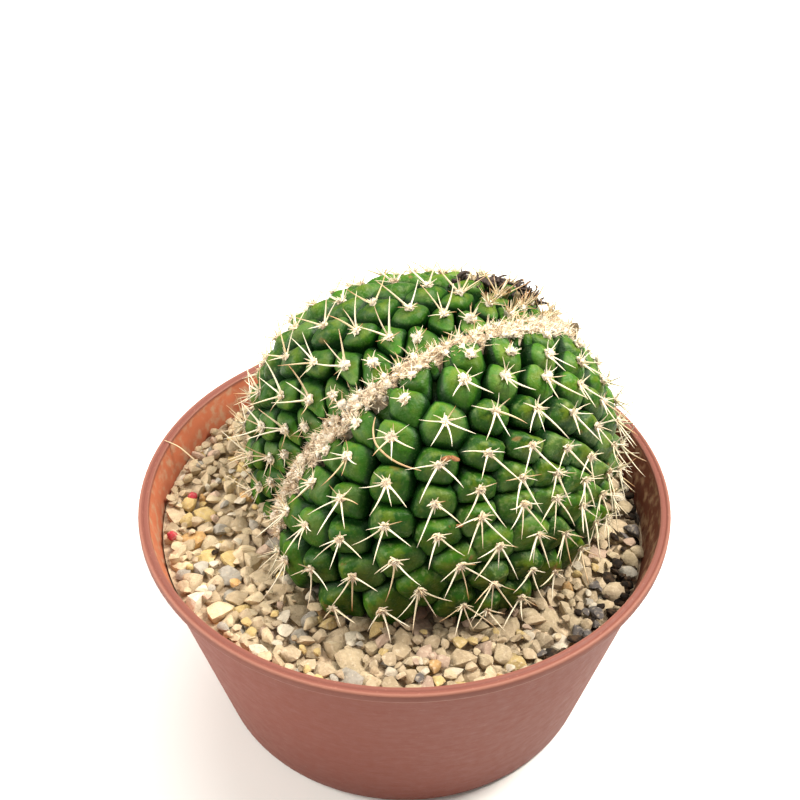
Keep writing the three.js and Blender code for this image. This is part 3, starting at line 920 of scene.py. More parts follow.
@dataclass(frozen=True)
class Spine:
    """One spine: an arc from its root, hooked where its curl is large."""

    root: Vector
    tip: Vector
    turn: Vector
    curl: float
    thick: float
    chance: float = 0.5
    amber: float = 0.0
    foot: float = 1.3
    taper: float = 0.95

    @classmethod
    def drawn(cls, root: Vector, tip: Vector, draws: Draws, curl: Span, thick: Span, amber: Span) -> "Spine":
        """A spine with a drawn turn, curl, thickness, chance and amber, in that order."""
        return cls(
            root, tip, draws.way(), draws.between(*curl), draws.between(*thick), draws.one(),
            draws.between(*amber),
        )

    def bend(self) -> Bend:
        """How a horn's corners move onto the spine's arc."""
        chord = self.tip - self.root
        ahead = chord / chord.length
        turn = (self.turn - ahead * self.turn.dot(ahead)).normalized()
        half = self.curl / 2
        start = ahead * math.cos(half) - turn * math.sin(half)
        across = turn * math.cos(half) + ahead * math.sin(half)
        flat = start.cross(across)
        stretch = chord.length * half / math.sin(half)

        def move(corner: Vector) -> Painted:
            """One corner onto the arc."""
            part = corner.z
            angle = self.curl * part
            along, aside = math.sin(angle) / self.curl, (1 - math.cos(angle)) / self.curl
            centre = self.root + start * (stretch * along) + across * (stretch * aside)
            out = across * math.cos(angle) - start * math.sin(angle)
            radius = self.thick * (self.foot - self.taper * part) * (0.5 if part > 0.99 else 1.0)
            point = centre + out * (corner.x * radius) + flat * (corner.y * radius)
            return point, (part, self.chance, self.amber, 1.0)

        return move


@dataclass(frozen=True)
class Ray:
    """A finer spine that the solid leaves out: its angle and rise in degrees, its odds and sizes."""

    angle: float
    chance: float
    rise: Span
    length: Span
    thick: float


NEWEST_RAYS = tuple(Ray(angle, 0.7, (45, 45), (1.6, 3.4), 0.13) for angle in (90, 200, 320))
YOUNG_RAYS = tuple(Ray(angle, 0.62, (30, 55), (2.4, 4.6), 0.16) for angle in (90, 225, 315, 270, 0, 180))
OUTER_RAY = Ray(90, 0.5, (25, 45), (6, 9), 0.18)
OTHER_RAYS = (Ray(188, 0.55, (15, 35), (3, 6), 0.15), Ray(270, 0.5, (30, 60), (3, 5.5), 0.14))
FRONT_RAYS = (OUTER_RAY, Ray(-8, 0.75, (15, 35), (5.5, 9.5), 0.175), *OTHER_RAYS)
BACK_RAYS = (OUTER_RAY, Ray(5, 0.45, (15, 35), (5.5, 9.5), 0.175), *OTHER_RAYS)


@dataclass
class Spines:
    """The rule that sets each areole's spines, and keeps them clear of gravel and wall."""

    young_within: float = 10.0
    outward: Span = (7.5, 11.0)
    inward: Span = (3.0, 5.5)
    young: Span = (2.0, 4.5)
    rise: Span = (math.radians(28), math.radians(50))
    fan: float = math.radians(14)
    thick: float = 0.225
    thin: float = 0.17
    over_gravel: float = 2.6
    bends: int = 4
    level_rise: float = math.radians(20)
    face_rise: float = math.radians(55)
    least_lean: float = 0.3
    stub: float = 1.6
    inside_wall: float = 63.2
    inside_rim: float = 66.0
    highest: float = 123.7
    line_spines: int = 520
    line_seed: int = 5087

    def inside(self, root: Vector, tip: Vector) -> Vector:
        """Draws a tip in from the pot's wall and down to the solids' highest point."""
        if tip.z > self.highest:
            tip = root.lerp(tip, (self.highest - root.z) / (tip.z - root.z))
        limit = self.inside_wall if tip.z < POT_HEIGHT + 2 else self.inside_rim
        reach = math.hypot(tip.x, tip.y)
        if reach > limit:
            part = (reach - limit) / (reach - math.hypot(root.x, root.y))
            return tip.lerp(root, min(part, 0.8))
        return tip

    def tip(self, root: Vector, way: Vector, face: Vector, length: float) -> Vector:
        """Bends a spine level over the gravel, down to a stub where it must.

        Args:
            root: The spine's foot.
            way: The way that it would grow.
            face: The way that the areole faces there.
            length: Its full length.

        Returns:
            The spine's tip.
        """
        floor = gravel_height(root.x) + self.over_gravel
        level = Vector((face.x, face.y, 0)).normalized() * math.cos(self.level_rise)
        level = level + UP * math.sin(self.level_rise)
        for bend in range(self.bends + 1):
            part = bend / self.bends
            bent = way.lerp(level, part).normalized()
            tip = root + bent * length * (1 - part / 2)
            if tip.z > floor and bent.dot(face) > self.least_lean:
                return self.inside(root, tip)
        return root + face * self.stub

    def dressed(self, spot: Spot, tip: Vector, thick: float, looks: Draws) -> Spine:
        """A spine with its own slight bend and tint; more of them are golden behind the line."""
        share = 0.10 if spot.front else 0.25 + 0.35 * smooth(26, 14, spot.distance)
        amber = looks.between(0.6, 1.0) if looks.one() < share else 0.15 * looks.one()
        return Spine(
            spot.tip, tip, looks.way(), looks.between(0.06, 0.42), thick * looks.between(0.85, 1.15),
            looks.one(), amber,
        )

    def solid_star(self, spot: Spot) -> list[Spine]:
        """The spines that the solid tubercle has, at the same places."""
        young = spot.distance < self.young_within
        corners = 3 if young else 4
        draws, looks = spot.draws(Salt.SOLID), spot.draws(Salt.LOOKS)
        draws.one()
        draws.one()
        spines = []
        for index in range(corners):
            middle = math.pi / 2 + FULL_TURN * (index + 0.5) / corners
            outward = math.sin(middle) > 0
            if young and not outward:
                continue
            angle = middle + draws.between(-self.fan, self.fan)
            rise = draws.between(*self.rise)
            length = draws.between(*(self.young if young else self.outward if outward else self.inward))
            tip = self.tip(spot.tip, spot.way(angle, rise), spot.way(middle, self.face_rise), length)
            thick = self.thin if young or not outward else self.thick
            spines.append(self.dressed(spot, tip, thick, looks))
        return spines

    def further(self, spot: Spot) -> list[Spine]:
        """The finer spines that the solid leaves out."""
        looks = spot.draws(Salt.FURTHER)
        grown = FRONT_RAYS if spot.front else BACK_RAYS
        rays = NEWEST_RAYS if spot.newest else YOUNG_RAYS if spot.distance < self.young_within else grown
        spines = []
        for ray in rays:
            if looks.one() >= ray.chance:
                continue
            low, high = ray.rise
            rise = looks.between(low, high) if high > low else low
            length = looks.between(*ray.length)
            turn = math.radians(ray.angle + looks.between(-9, 9))
            way, face = spot.way(turn, math.radians(rise)), spot.way(turn, self.face_rise)
            tip = self.tip(spot.tip, way, face, length)
            if (tip - spot.tip).length > 2.0:
                spines.append(self.dressed(spot, tip, ray.thick, looks))
        return spines

    def hooks(self, spot: Spot) -> list[Spine]:
        """Short curled spines at some areoles' shoulders."""
        looks = spot.draws(Salt.HOOKS)
        if spot.distance < self.young_within or looks.one() > 0.42:
            return []
        spines = []
        for _ in range(1 + int(looks.one() * 2.4)):
            angle = math.radians(looks.between(150, 250) if looks.one() < 0.7 else looks.between(-40, 60))
            way = spot.way(angle, math.radians(looks.between(15, 50)))
            tip = spot.tip + way * looks.between(1.3, 2.2)
            curl = looks.between(2.6, 3.9)
            spines.append(Spine(spot.tip, tip, spot.areole_down, curl, 0.27, 0.2, looks.between(0.0, 0.7)))
        return spines

    def burst(self, spot: Spot) -> list[Spine]:
        """The short bristles that give each areole its star."""
        looks = spot.draws(Salt.BURST)
        wanted, longer, amber = (8, 1.5, 0.9) if spot.newest else (7, 1.0, 0.3)
        spines = []
        for index in range(wanted):
            angle = FULL_TURN * (index + looks.between(0.1, 0.9)) / wanted
            way = spot.way(angle, math.radians(looks.between(12, 60)))
            tip = self.inside(spot.tip, spot.tip + way * (looks.between(1.5, 2.7) * longer))
            spines.append(Spine.drawn(spot.tip, tip, looks, (0.1, 0.6), (0.13, 0.19), (0.0, amber)))
        return spines

    def crowd(self, spot: Spot) -> list[Spine]:
        """The crowded fine spines behind the line at the upper right."""
        if spot.front:
            return []
        near = smooth(0.53, 0.58, spot.at) * smooth(0.74, 0.68, spot.at) * smooth(24, 14, spot.distance)
        looks = spot.draws(Salt.CROWD)
        spines = []
        for _ in range(int(13 * near)):
            way = spot.way(looks.between(0, FULL_TURN), math.radians(looks.between(25, 80)))
            tip = self.inside(spot.tip, spot.tip + way * looks.between(3.0, 7.5))
            spines.append(Spine.drawn(spot.tip, tip, looks, (0.1, 0.7), (0.11, 0.17), (0.5, 1.0)))
        return spines

    def along_line(self) -> list[Spine]:
        """The small spines in the growth line's wool, wider spread at its lower end."""
        draws = Draws(self.line_seed)
        spines = []
        for step in range(self.line_spines):
            fraction = 0.09 + 0.82 * (step + draws.one()) / self.line_spines
            here, ahead, out = LINE.frame(fraction)
            if here.z < gravel_height(here.x) + 2.5 or by_pod(fraction):
                continue
            low = smooth(0.52, 0.38, fraction)
            root = here + ahead.cross(out) * draws.between(-2.8, 2.8) * (1 + 0.6 * low) + out * 0.9
            way = (out + draws.way() * (0.75 + 0.2 * low)).normalized()
            tip = self.inside(root, root + way * draws.between(2.6, 5.2) * (1 + 0.15 * low))
            spines.append(Spine.drawn(root, tip, draws, (0.1, 0.6), (0.10, 0.15), (0.0, 0.9)))
        return spines


# The plant


@dataclass
class Room:
    """The room that a tubercle has between its neighbours, which its body fills."""

    walls: list[tuple[float, float]]
    corner: float = 7.0
    widest: float = 7.0

    @classmethod
    def around(cls, spot: Spot, others: list[Spot], sight: float = 17.0, groove: float = 0.2) -> "Room":
        """Puts a wall half-way to each neighbour, and one at the growth line.

        Args:
            spot: The tubercle.
            others: Every tubercle of the plant.
            sight: How far off a neighbour still counts.
            groove: How far a body may reach beyond its share of the way to the growth line.

        Returns:
            The room.
        """
        walls = []
        for other in others:
            way = other.position - spot.position
            if other is spot or other.front != spot.front or way.length > sight:
                continue
            part = spot.size / (spot.size + other.size)
            flat = Vector((way.dot(spot.side), way.dot(spot.down)))
            walls.append(tuple(flat / (part * flat.length_squared)))
        walls.append((0.0, -1.0 / (0.62 * spot.distance + groove)))
        return cls(walls)

    def reach(self, cos: float, sin: float) -> float:
        """How far the body reaches one way, with soft corners."""
        total = (1 / self.widest) ** self.corner
        for x, y in self.walls:
            total += max(cos * x + sin * y, 0.0) ** self.corner
        return total ** (-1 / self.corner)


@dataclass
class Body:
    """The green body: the mound and the tubercles that cover it."""

    fill: float = 1.13
    wide: float = 1.09
    sink: float = 4.0
    roundness: float = 3.2
    slim: float = 0.31
    uneven: float = 0.42
    belly: float = 0.16
    least_distance: float = 3.6
    sides: int = 22
    young_sides: int = 12
    young_length: Span = (1.4, 3.0)
    spans: int = 60
    bands: int = 26
    under_skin: float = 1.9
    root: tuple[Span, ...] = ((19.0, GRAVEL_TOP - 13.0), (7.0, GRAVEL_TOP - 32.0))

    def painted_shade(self, spot: Spot) -> float:
        """Painted shade: how much deeper the green is painted at the middle of the front and at the back's
        left.
        """
        if spot.front:
            return 0.34 * smooth(-42, -24, spot.position.x) * smooth(24, 6, spot.position.x)
        return 0.40 * smooth(0.62, 0.50, spot.at)

    def tubercle(self, spot: Spot, room: Room) -> Bend:
        """How a bud becomes a plump tubercle that fills its room and leans from the growth line."""
        draws = spot.draws(Salt.BODY)
        chance = draws.one()
        shift = Vector((draws.between(-50, 50), draws.between(-50, 50), 0))
        skew = draws.between(-0.1, 0.1)
        fill = self.fill * spot.swell * draws.between(0.97, 1.03)
        sink = min(self.sink, 0.75 * spot.tall + 0.8)
        # Age, raised towards the right: partly real dust, partly painted sheen where the light falls.
        age = clamp(spot.distance / 45.0 + 0.3 * smooth(8, 40, spot.position.x))
        new = smooth(22, 5, spot.distance)
        roundness = self.roundness - 0.7 * new
        # depth carries the region's painted shade.
        side, areole_down, depth = spot.side, spot.areole_down, self.painted_shade(spot)

        def move(corner: Vector) -> Painted:
            """One corner onto the tubercle."""
            rise = corner.z
            cos, sin, plump, reach = 0.0, 0.0, 0.0, 0.0
            flat = math.hypot(corner.x, corner.y)
            if flat > 0.5:
                cos, sin = corner.x / flat, corner.y / flat
                plump = (1 - abs(rise) ** roundness) ** 0.5
                reach = plump * fill * room.reach(cos, sin)
            downhill = spot.down.lerp(areole_down, smooth(0.55, 1.0, rise))
            x = cos * reach * self.wide * (1 - self.slim * new)
            y = sin * reach * (1 + 0.5 * self.slim * new)
            y += self.belly * spot.tall * math.sin(math.pi * clamp(rise)) * clamp(spot.distance / 30)
            lift = rise * (spot.tall if rise > 0 else sink)
            way = spot.axis if rise > 0 else spot.normal
            point = spot.position + side * (x + skew * lift) + downhill * y + way * lift
            swell = noise.noise(point * 0.3 + shift) * self.uneven * (0.3 + plump)
            point = point + (side * cos + spot.down * sin + spot.normal * 0.6) * swell
            # Painted shade along the seams where a body meets its neighbours: the height channel is darkened
            # there.
            seam_shade = smooth(0.98, 1.10, plump * fill * (1 + (self.wide - 1) * abs(cos)))
            height = clamp(rise * 0.98 + 0.02) * (1 - 0.35 * seam_shade)
            # The last channel is painted shade on each body's downhill side, plus the region's painted shade.
            return point, (height, chance, age, clamp(0.5 + 0.5 * sin * plump + depth))

        return move

    def mound_point(self, fraction: float, down: float, flank: Flank) -> Vector:
        """A point of the mound's skin, sunk under the tubercles away from the growth line."""
        point = LINE.on_flank(fraction, down, flank)
        spoke = (point - MOUND_CENTRE).normalized()
        away = smooth(0.0, 0.10, down)
        return point + spoke * (0.5 * (1 - away) - self.under_skin * away)

    def mound(self, bm: BMesh) -> None:
        """Lays both flanks of the mound and closes them below, down to the root."""
        paint = bm.verts.layers.float_color.new("paint")
        for flank in (FRONT, BACK):
            made = bmesh.ops.create_grid(bm, x_segments=self.spans, y_segments=self.bands, size=0.5)
            for vert in made["verts"]:
                down = clamp(vert.co.y + 0.5) ** 1.15
                vert.co = self.mound_point(clamp(vert.co.x + 0.5), down, flank)
                # Painted shade: the mound under the tubercles takes the dark crease colour, green only by the
                # growth line.
                vert[paint] = (0.04 + 0.6 * smooth(0.16, 0.06, down), 0.3, 0.3, 0.5)
        bmesh.ops.remove_doubles(bm, verts=bm.verts, dist=0.02)
        for radius, height in self.root:
            rim = [edge for edge in bm.edges if edge.is_boundary]
            moved = bmesh.ops.extrude_edge_only(bm, edges=rim)["geom"]
            for vert in (item for item in moved if isinstance(item, bmesh.types.BMVert)):
                flat = Vector((vert.co.x - MOUND_CENTRE.x, vert.co.y - MOUND_CENTRE.y, 0))
                flat = flat.normalized() * radius
                vert.co = Vector((MOUND_CENTRE.x + flat.x, MOUND_CENTRE.y + flat.y, height))
                # Painted shade: the root takes the dark crease colour too.
                vert[paint] = (0.04, 0.5, 0.7, 0.5)
        bmesh.ops.holes_fill(bm, edges=[edge for edge in bm.edges if edge.is_boundary], sides=0)
        bmesh.ops.triangulate(bm, faces=[face for face in bm.faces if len(face.verts) > 4])

    def build(self, spots: list[Spot], new_spots: list[Spot], pitch: float) -> None:
        """Makes the body.

        Args:
            spots: The tubercles of the solids.
            new_spots: The new ones beside the growth line.
            pitch: How far the new ones stand apart.
        """
        skin = Piece("cactus_body", "cactus_skin", CactusSkin().material())
        skin.add(shaped(self.mound, "mound"))
        grown, small = bud(self.sides), bud(self.young_sides)
        for spot in spots:
            if spot.distance > self.least_distance:
                skin.add(grown, self.tubercle(spot, Room.around(spot, spots)))
        half = 0.48 * pitch
        up, down = self.young_length
        narrow = Room([(1 / half, 0.0), (-1 / half, 0.0), (0.0, 1 / down), (0.0, -1 / up)], corner=5.0)
        for spot in new_spots:
            skin.add(small, self.tubercle(spot, narrow))
        skin.finish("cactus")


@dataclass
class Fleece:
    """The wool: a ball on each areole, and a matted band along the growth line."""

    radius: float = 1.15
    rise: float = 1.7
    hairs: int = 18
    new_hairs: int = 12
    hair_thick: float = 0.06
    tufts: int = 560
    band: float = 3.0
    felt_half: float = 3.9
    white_share: float = 0.18
    seed: int = 2203

    def areole(self, wool: Piece, spot: Spot, tuft: Mesh, hair: Mesh) -> None:
        """A ball of wool with fine loose hairs on one areole.

        Args:
            wool: The piece to add to.
            spot: The tubercle that bears the areole.
            tuft: The ball's shape.
            hair: The hairs' shape.
        """
        draws = spot.draws(Salt.WOOL)
        low = smooth(0.45, 0.3, spot.at) if spot.newest else 0.0
        small = 0.88 + 0.2 * low if spot.newest else 1.0
        radius = self.radius * small * draws.between(0.85, 1.12) * (1.04 - 0.28 * clamp(spot.distance / 40))
        age = clamp((spot.distance - 3) / 24.0 + 0.3 * low) * draws.between(0.4, 1.0)
        chance = draws.one()
        dirt = clamp(age * draws.between(-0.3, 1.1) + (0.0 if spot.front else 0.15))
        centre = spot.tip + spot.areole_axis * 0.25 * radius
        shift = draws.way() * 30
        side, down, out = spot.side, spot.areole_down, spot.areole_axis

        def puff(corner: Vector) -> Painted:
            """One corner of the ball, lumpy and older below."""
            lump = 1 + 0.8 * noise.noise(corner * 1.7 + shift) + 0.4 * noise.noise(corner * 4.3 + shift)
            local = corner * radius * lump
            tint = clamp(age + 0.55 * smooth(0.0, 0.9, corner.y + 0.4 * noise.noise(corner * 2.5)))
            point = centre + side * local.x + down * local.y * 0.95 + out * local.z * 0.72
            return point, (tint, chance, dirt, 1)

        wool.add(tuft, puff)
        for _ in range(self.new_hairs if spot.newest else self.hairs):
            way = spot.way(draws.between(0, FULL_TURN), math.radians(draws.between(5, 75)))
            root = centre + way * radius * 0.5
            tip = centre + way * radius * draws.between(1.2, 1.7)
            strand = Spine(root, tip, draws.way(), draws.between(0.2, 1.2), self.hair_thick)
            wool.add(hair, strand.bend(), (age * 0.5, chance, 0.0, 1))

    def felt(self, corner: Vector) -> Painted:
        """One corner of the matted felt that lies on the growth line under the tufts."""
        here, ahead, out = LINE.frame(0.5 + 0.43 * corner.x)
        aside = self.felt_half * corner.y
        point = here + ahead.cross(out).normalized() * aside
        rough = noise.noise(point * 0.8) * 0.5 + noise.noise(point * 2.1) * 0.3
        point += out * (self.rise + 0.2 - 0.2 * aside * aside + rough)
        return point, (0.75 + 0.4 * noise.noise(point * 0.5), 0.5, 0.35 + 0.5 * noise.noise(point * 0.7), 1)

    def tuft(self, wool: Piece, fraction: float, draws: Draws, ball_shape: Mesh, hair: Mesh) -> None:
        """One hairy tuft at a fraction of the growth line; fluffier at the upper right."""
        here, ahead, out = LINE.frame(fraction)
        side = ahead.cross(out).normalized()
        fluff = smooth(0.61, 0.68, fraction) * smooth(0.735, 0.71, fraction)
        aside = draws.between(-self.band, self.band) * (1.2 + 0.4 * fluff)
        aside *= 1 - 0.38 * smooth(0.38, 0.48, fraction)
        radius = draws.between(0.45, 0.8) * (1 + 0.3 * fluff + 0.15 * smooth(0.42, 0.3, fraction))
        rise = self.rise - 0.12 * aside * aside + 0.7 * smooth(0.47, 0.36, fraction) + 0.9 * fluff
        centre = here + side * aside + out * (rise + draws.between(-0.3, 0.6))
        shift = draws.way() * 30
        white = draws.one() < self.white_share
        age = (0.0 if white else draws.between(0.45, 0.95)) * (1 - 0.4 * fluff)
        dirt = (-1 if white else draws.between(-0.5, 0.6)) + 0.3 * smooth(0.34, 0.14, fraction) - fluff
        dirt = clamp(dirt)

        def puff(corner: Vector) -> Painted:
            """One corner of the tuft, lumpy."""
            local = corner * radius * (1 + 0.5 * noise.noise(corner * 1.9 + shift))
            return centre + ahead * local.x * 1.25 + side * local.y + out * local.z * 0.9, (age, 0.5, dirt, 1)

        wool.add(ball_shape, puff)
        for _ in range(self.new_hairs):
            way = (out * 0.7 + draws.way() * 1.2).normalized()
            root = centre + way * radius * 0.4
            tip = centre + way * (radius + draws.between(0.4, 1.3) * (1 + 0.6 * fluff))
            strand = Spine(root, tip, draws.way(), draws.between(0.2, 1.8), self.hair_thick)
            wool.add(hair, strand.bend(), (age, 0.5, dirt * 0.6, 1))

    def build(self, spots: list[Spot], new_spots: list[Spot]) -> None:
        """Makes the wool of the areoles and of the growth line."""
        felted, hair, coarse = Wool().material(), horn(3, 1), ball(2)
        wool = Piece("areole_wool", "cactus_skin", felted)
        fine = ball(3)
        for spot in spots:
            self.areole(wool, spot, fine, hair)
        wool.finish()
        band = Piece("line_wool", "cactus_skin", felted)
        for spot in new_spots:
            self.areole(band, spot, coarse, hair)
        band.add(sheet(260, 12), self.felt)
        draws = Draws(self.seed)
        for step in range(self.tufts):
            fraction = 0.075 + 0.85 * (step + draws.one()) / self.tufts
            here = LINE.at(fraction)
            if here.z >= gravel_height(here.x) + 0.5 and not by_pod(fraction):
                self.tuft(band, fraction, draws, coarse, hair)
        band.finish()


@dataclass
class Cactus:
    """The whole plant."""

    line_pitch: float = 3.3
    least_gap: float = 2.0
    line_ends: Span = (0.1, 0.92)
    flowers_at: Span = (0.59, 0.71)
    flowers_within: float = 19.0
    lowered: float = 0.6
    first_seed: int = 30011
    seed_step: int = 97
    planting: Planting = field(default_factory=Planting)

    def line_areoles(self, spots: list[Spot]) -> list[Spot]:
        """The tiny new areoles in two ranks along the growth line, clear of the tubercles' own."""
        found = []
        start, end = (round(part * LINE_STEPS) for part in self.line_ends)
        for surface in self.planting.surfaces:
            last = None
            for i in range(start, end):
                low = smooth(0.47, 0.36, i / LINE_STEPS)
                spot = surface.spot(i, 2.4 + 0.5 * math.sin(i * 0.9) + low * (1.0 + math.sin(i * 1.9)))
                if last and (spot.position - last).length < self.line_pitch * (1 + 0.25 * low):
                    continue
                last = spot.position
                spot.newest, spot.tall = True, 2.2 + 0.6 * low
                spot.seed = self.first_seed + self.seed_step * i + surface.flank.seed
                crowded = any((spot.tip - other.tip).length < self.least_gap for other in spots)
                buried = last.z <= gravel_height(last.x) + 1.5
                if not (crowded or buried or by_pod(spot.at)):
                    found.append(spot)
        return found

    def build(self) -> None:
        """Makes the plant's pieces: body, wool of areoles and line, spines and bristles."""
        spots = self.planting.spots()
        # The tubercles round the dried flowers are lower, so that the flowers show.
        first, last = self.flowers_at
        for spot in spots:
            if not spot.front and first < spot.at < last and spot.distance < self.flowers_within:
                spot.tall *= self.lowered
        new_spots = self.line_areoles(spots)
        log.info("tubercles: %d, and %d new ones", len(spots), len(new_spots))
        Body().build(spots, new_spots, self.line_pitch)
        Fleece().build(spots, new_spots)
        horny, rule = SpineHorn().material(), Spines()
        spines, bristles = Piece("spines", "cactus_skin", horny), Piece("bristles", "cactus_skin", horny)
        long, short = horn(5, 4), horn(4, 3)
        for spot in spots:
            star = [] if spot.newest else rule.solid_star(spot)
            for spine in star + rule.further(spot) + rule.hooks(spot):
                spines.add(long, spine.bend())
            for spine in rule.burst(spot) + rule.crowd(spot):
                bristles.add(short, spine.bend())
        for spine in rule.along_line() + [spine for spot in new_spots for spine in rule.burst(spot)]:
            bristles.add(short, spine.bend())
        spines.finish()
        bristles.finish()


# The pot and what fills it


@dataclass
class Pot:
    """A round pot with a rolled lip, a drained floor and a tapering wall."""

    steps: int = 128
    lip_width: float = 2.7
    groove: float = 0.3
    drain_radius: float = 4.0
    drain_circle: float = 36.0
    drain_holes: int = 6

    def profile(self) -> list[tuple[float, float, Paint]]:
        """The section from the axis under the floor, round the lip, to the axis inside."""
        under, top = POT_HEIGHT - LIP_DEPTH, POT_HEIGHT
        base, rim, inner = BASE_RADIUS, RIM_RADIUS, RIM_RADIUS - self.lip_width
        lip, inside, edge = (1, 0, 0, 1), (0, 1, 0, 1), (1, 0, 1, 1)
        foot = ((0, 0), (30, 0), (base - 2.2, 0), (base - 1.2, 0.06), (base - 0.45, 0.45))
        outer = [(wall_outer(height), height) for height in (1.4, 4, 12, 24, 36, 48, 58, under - 0.5)]
        corners = [(*corner, PLAIN) for corner in (*foot, *outer, (wall_outer(under), under - 0.1))]
        corners += [
            (wall_outer(under) + 0.25, under, lip), (rim - 0.5, under, lip), (rim - 0.12, under + 0.14, edge),
            (rim, under + 0.5, lip), (rim, top - 0.55, lip), (rim - 0.13, top - 0.16, edge),
            (rim - 0.5, top, edge), (rim - 0.95, top - 0.02, lip), (rim - 1.15, top - self.groove, lip),
            (rim - 1.4, top - self.groove, lip), (rim - 1.6, top - 0.05, lip), (inner + 0.5, top, lip),
            (inner + 0.12, top - 0.15, edge), (inner, top - 0.5, lip),
        ]
        wall = [(wall_inner(height), height) for height in (60, 57, 53, 48, 36, 24, 12, 3.6)]
        low = wall_inner(FLOOR)
        floor = ((low - 0.5, FLOOR + 0.5), (low - 1.4, FLOOR), (30, FLOOR), (0, FLOOR))
        below_lip = ((inner - 0.1, top - 1.4), (wall_inner(under), under - 0.6))
        return corners + [(*corner, inside) for corner in (*below_lip, *wall, *floor)]

    def build(self) -> None:
        """Spins the section, paints shade on the inner wall's right side and cuts the drain holes."""
        piece = Piece("pot_shell", "terracotta_plastic", Terracotta().material())
        piece.spin(self.profile(), self.steps)
        for vert in piece.bm.verts:
            rim, inside, edge, _ = vert[piece.paint]
            # Painted shade: the inner wall grows darker towards the right.
            vert[piece.paint] = (rim, inside, edge, inside * smooth(-0.1, 0.9, vert.co.x / RIM_RADIUS))
        self.drain(piece.finish("pot"))

    def drain(self, pot: bpy.types.Object) -> None:
        """Cuts the drain holes through the floor."""

        def build(bm: BMesh) -> None:
            """Makes one plug for each hole."""
            for index in range(self.drain_holes):
                angle = FULL_TURN * (index + 0.5) / self.drain_holes
                x, y = (self.drain_circle * part * MM for part in (math.cos(angle), math.sin(angle)))
                bmesh.ops.create_cone(
                    bm, cap_ends=True, segments=32, radius1=self.drain_radius * MM,
                    radius2=self.drain_radius * MM, depth=FLOOR * 3 * MM,
                    matrix=Matrix.Translation((x, y, FLOOR / 2 * MM)),
                )

        cutter = placed("drain", shaped(build, "drain"))
        cut = pot.modifiers.new("drain", "BOOLEAN")
        cut.operation = "DIFFERENCE"
        cut.solver = "EXACT"
        cut.object = cutter
        holed = pot.evaluated_get(bpy.context.evaluated_depsgraph_get())
        pot.data = bpy.data.meshes.new_from_object(holed)
        pot.modifiers.clear()
        bpy.data.objects.remove(cutter)


class Stone(Enum):
    """Kinds of gravel by colour, with the share of each."""

    CREAM = ((0.55, 0.44, 0.28), 26)
    BEIGE = ((0.51, 0.40, 0.26), 27)
    TAN = ((0.43, 0.33, 0.205), 14)
    YELLOW = ((0.58, 0.43, 0.18), 8)
    OCHRE = ((0.52, 0.31, 0.12), 2)
    PINK = ((0.49, 0.35, 0.26), 6)
    WHITE = ((0.61, 0.54, 0.42), 9)
    GREY = ((0.35, 0.32, 0.27), 7)
    DARK = ((0.12, 0.105, 0.10), 0.6)


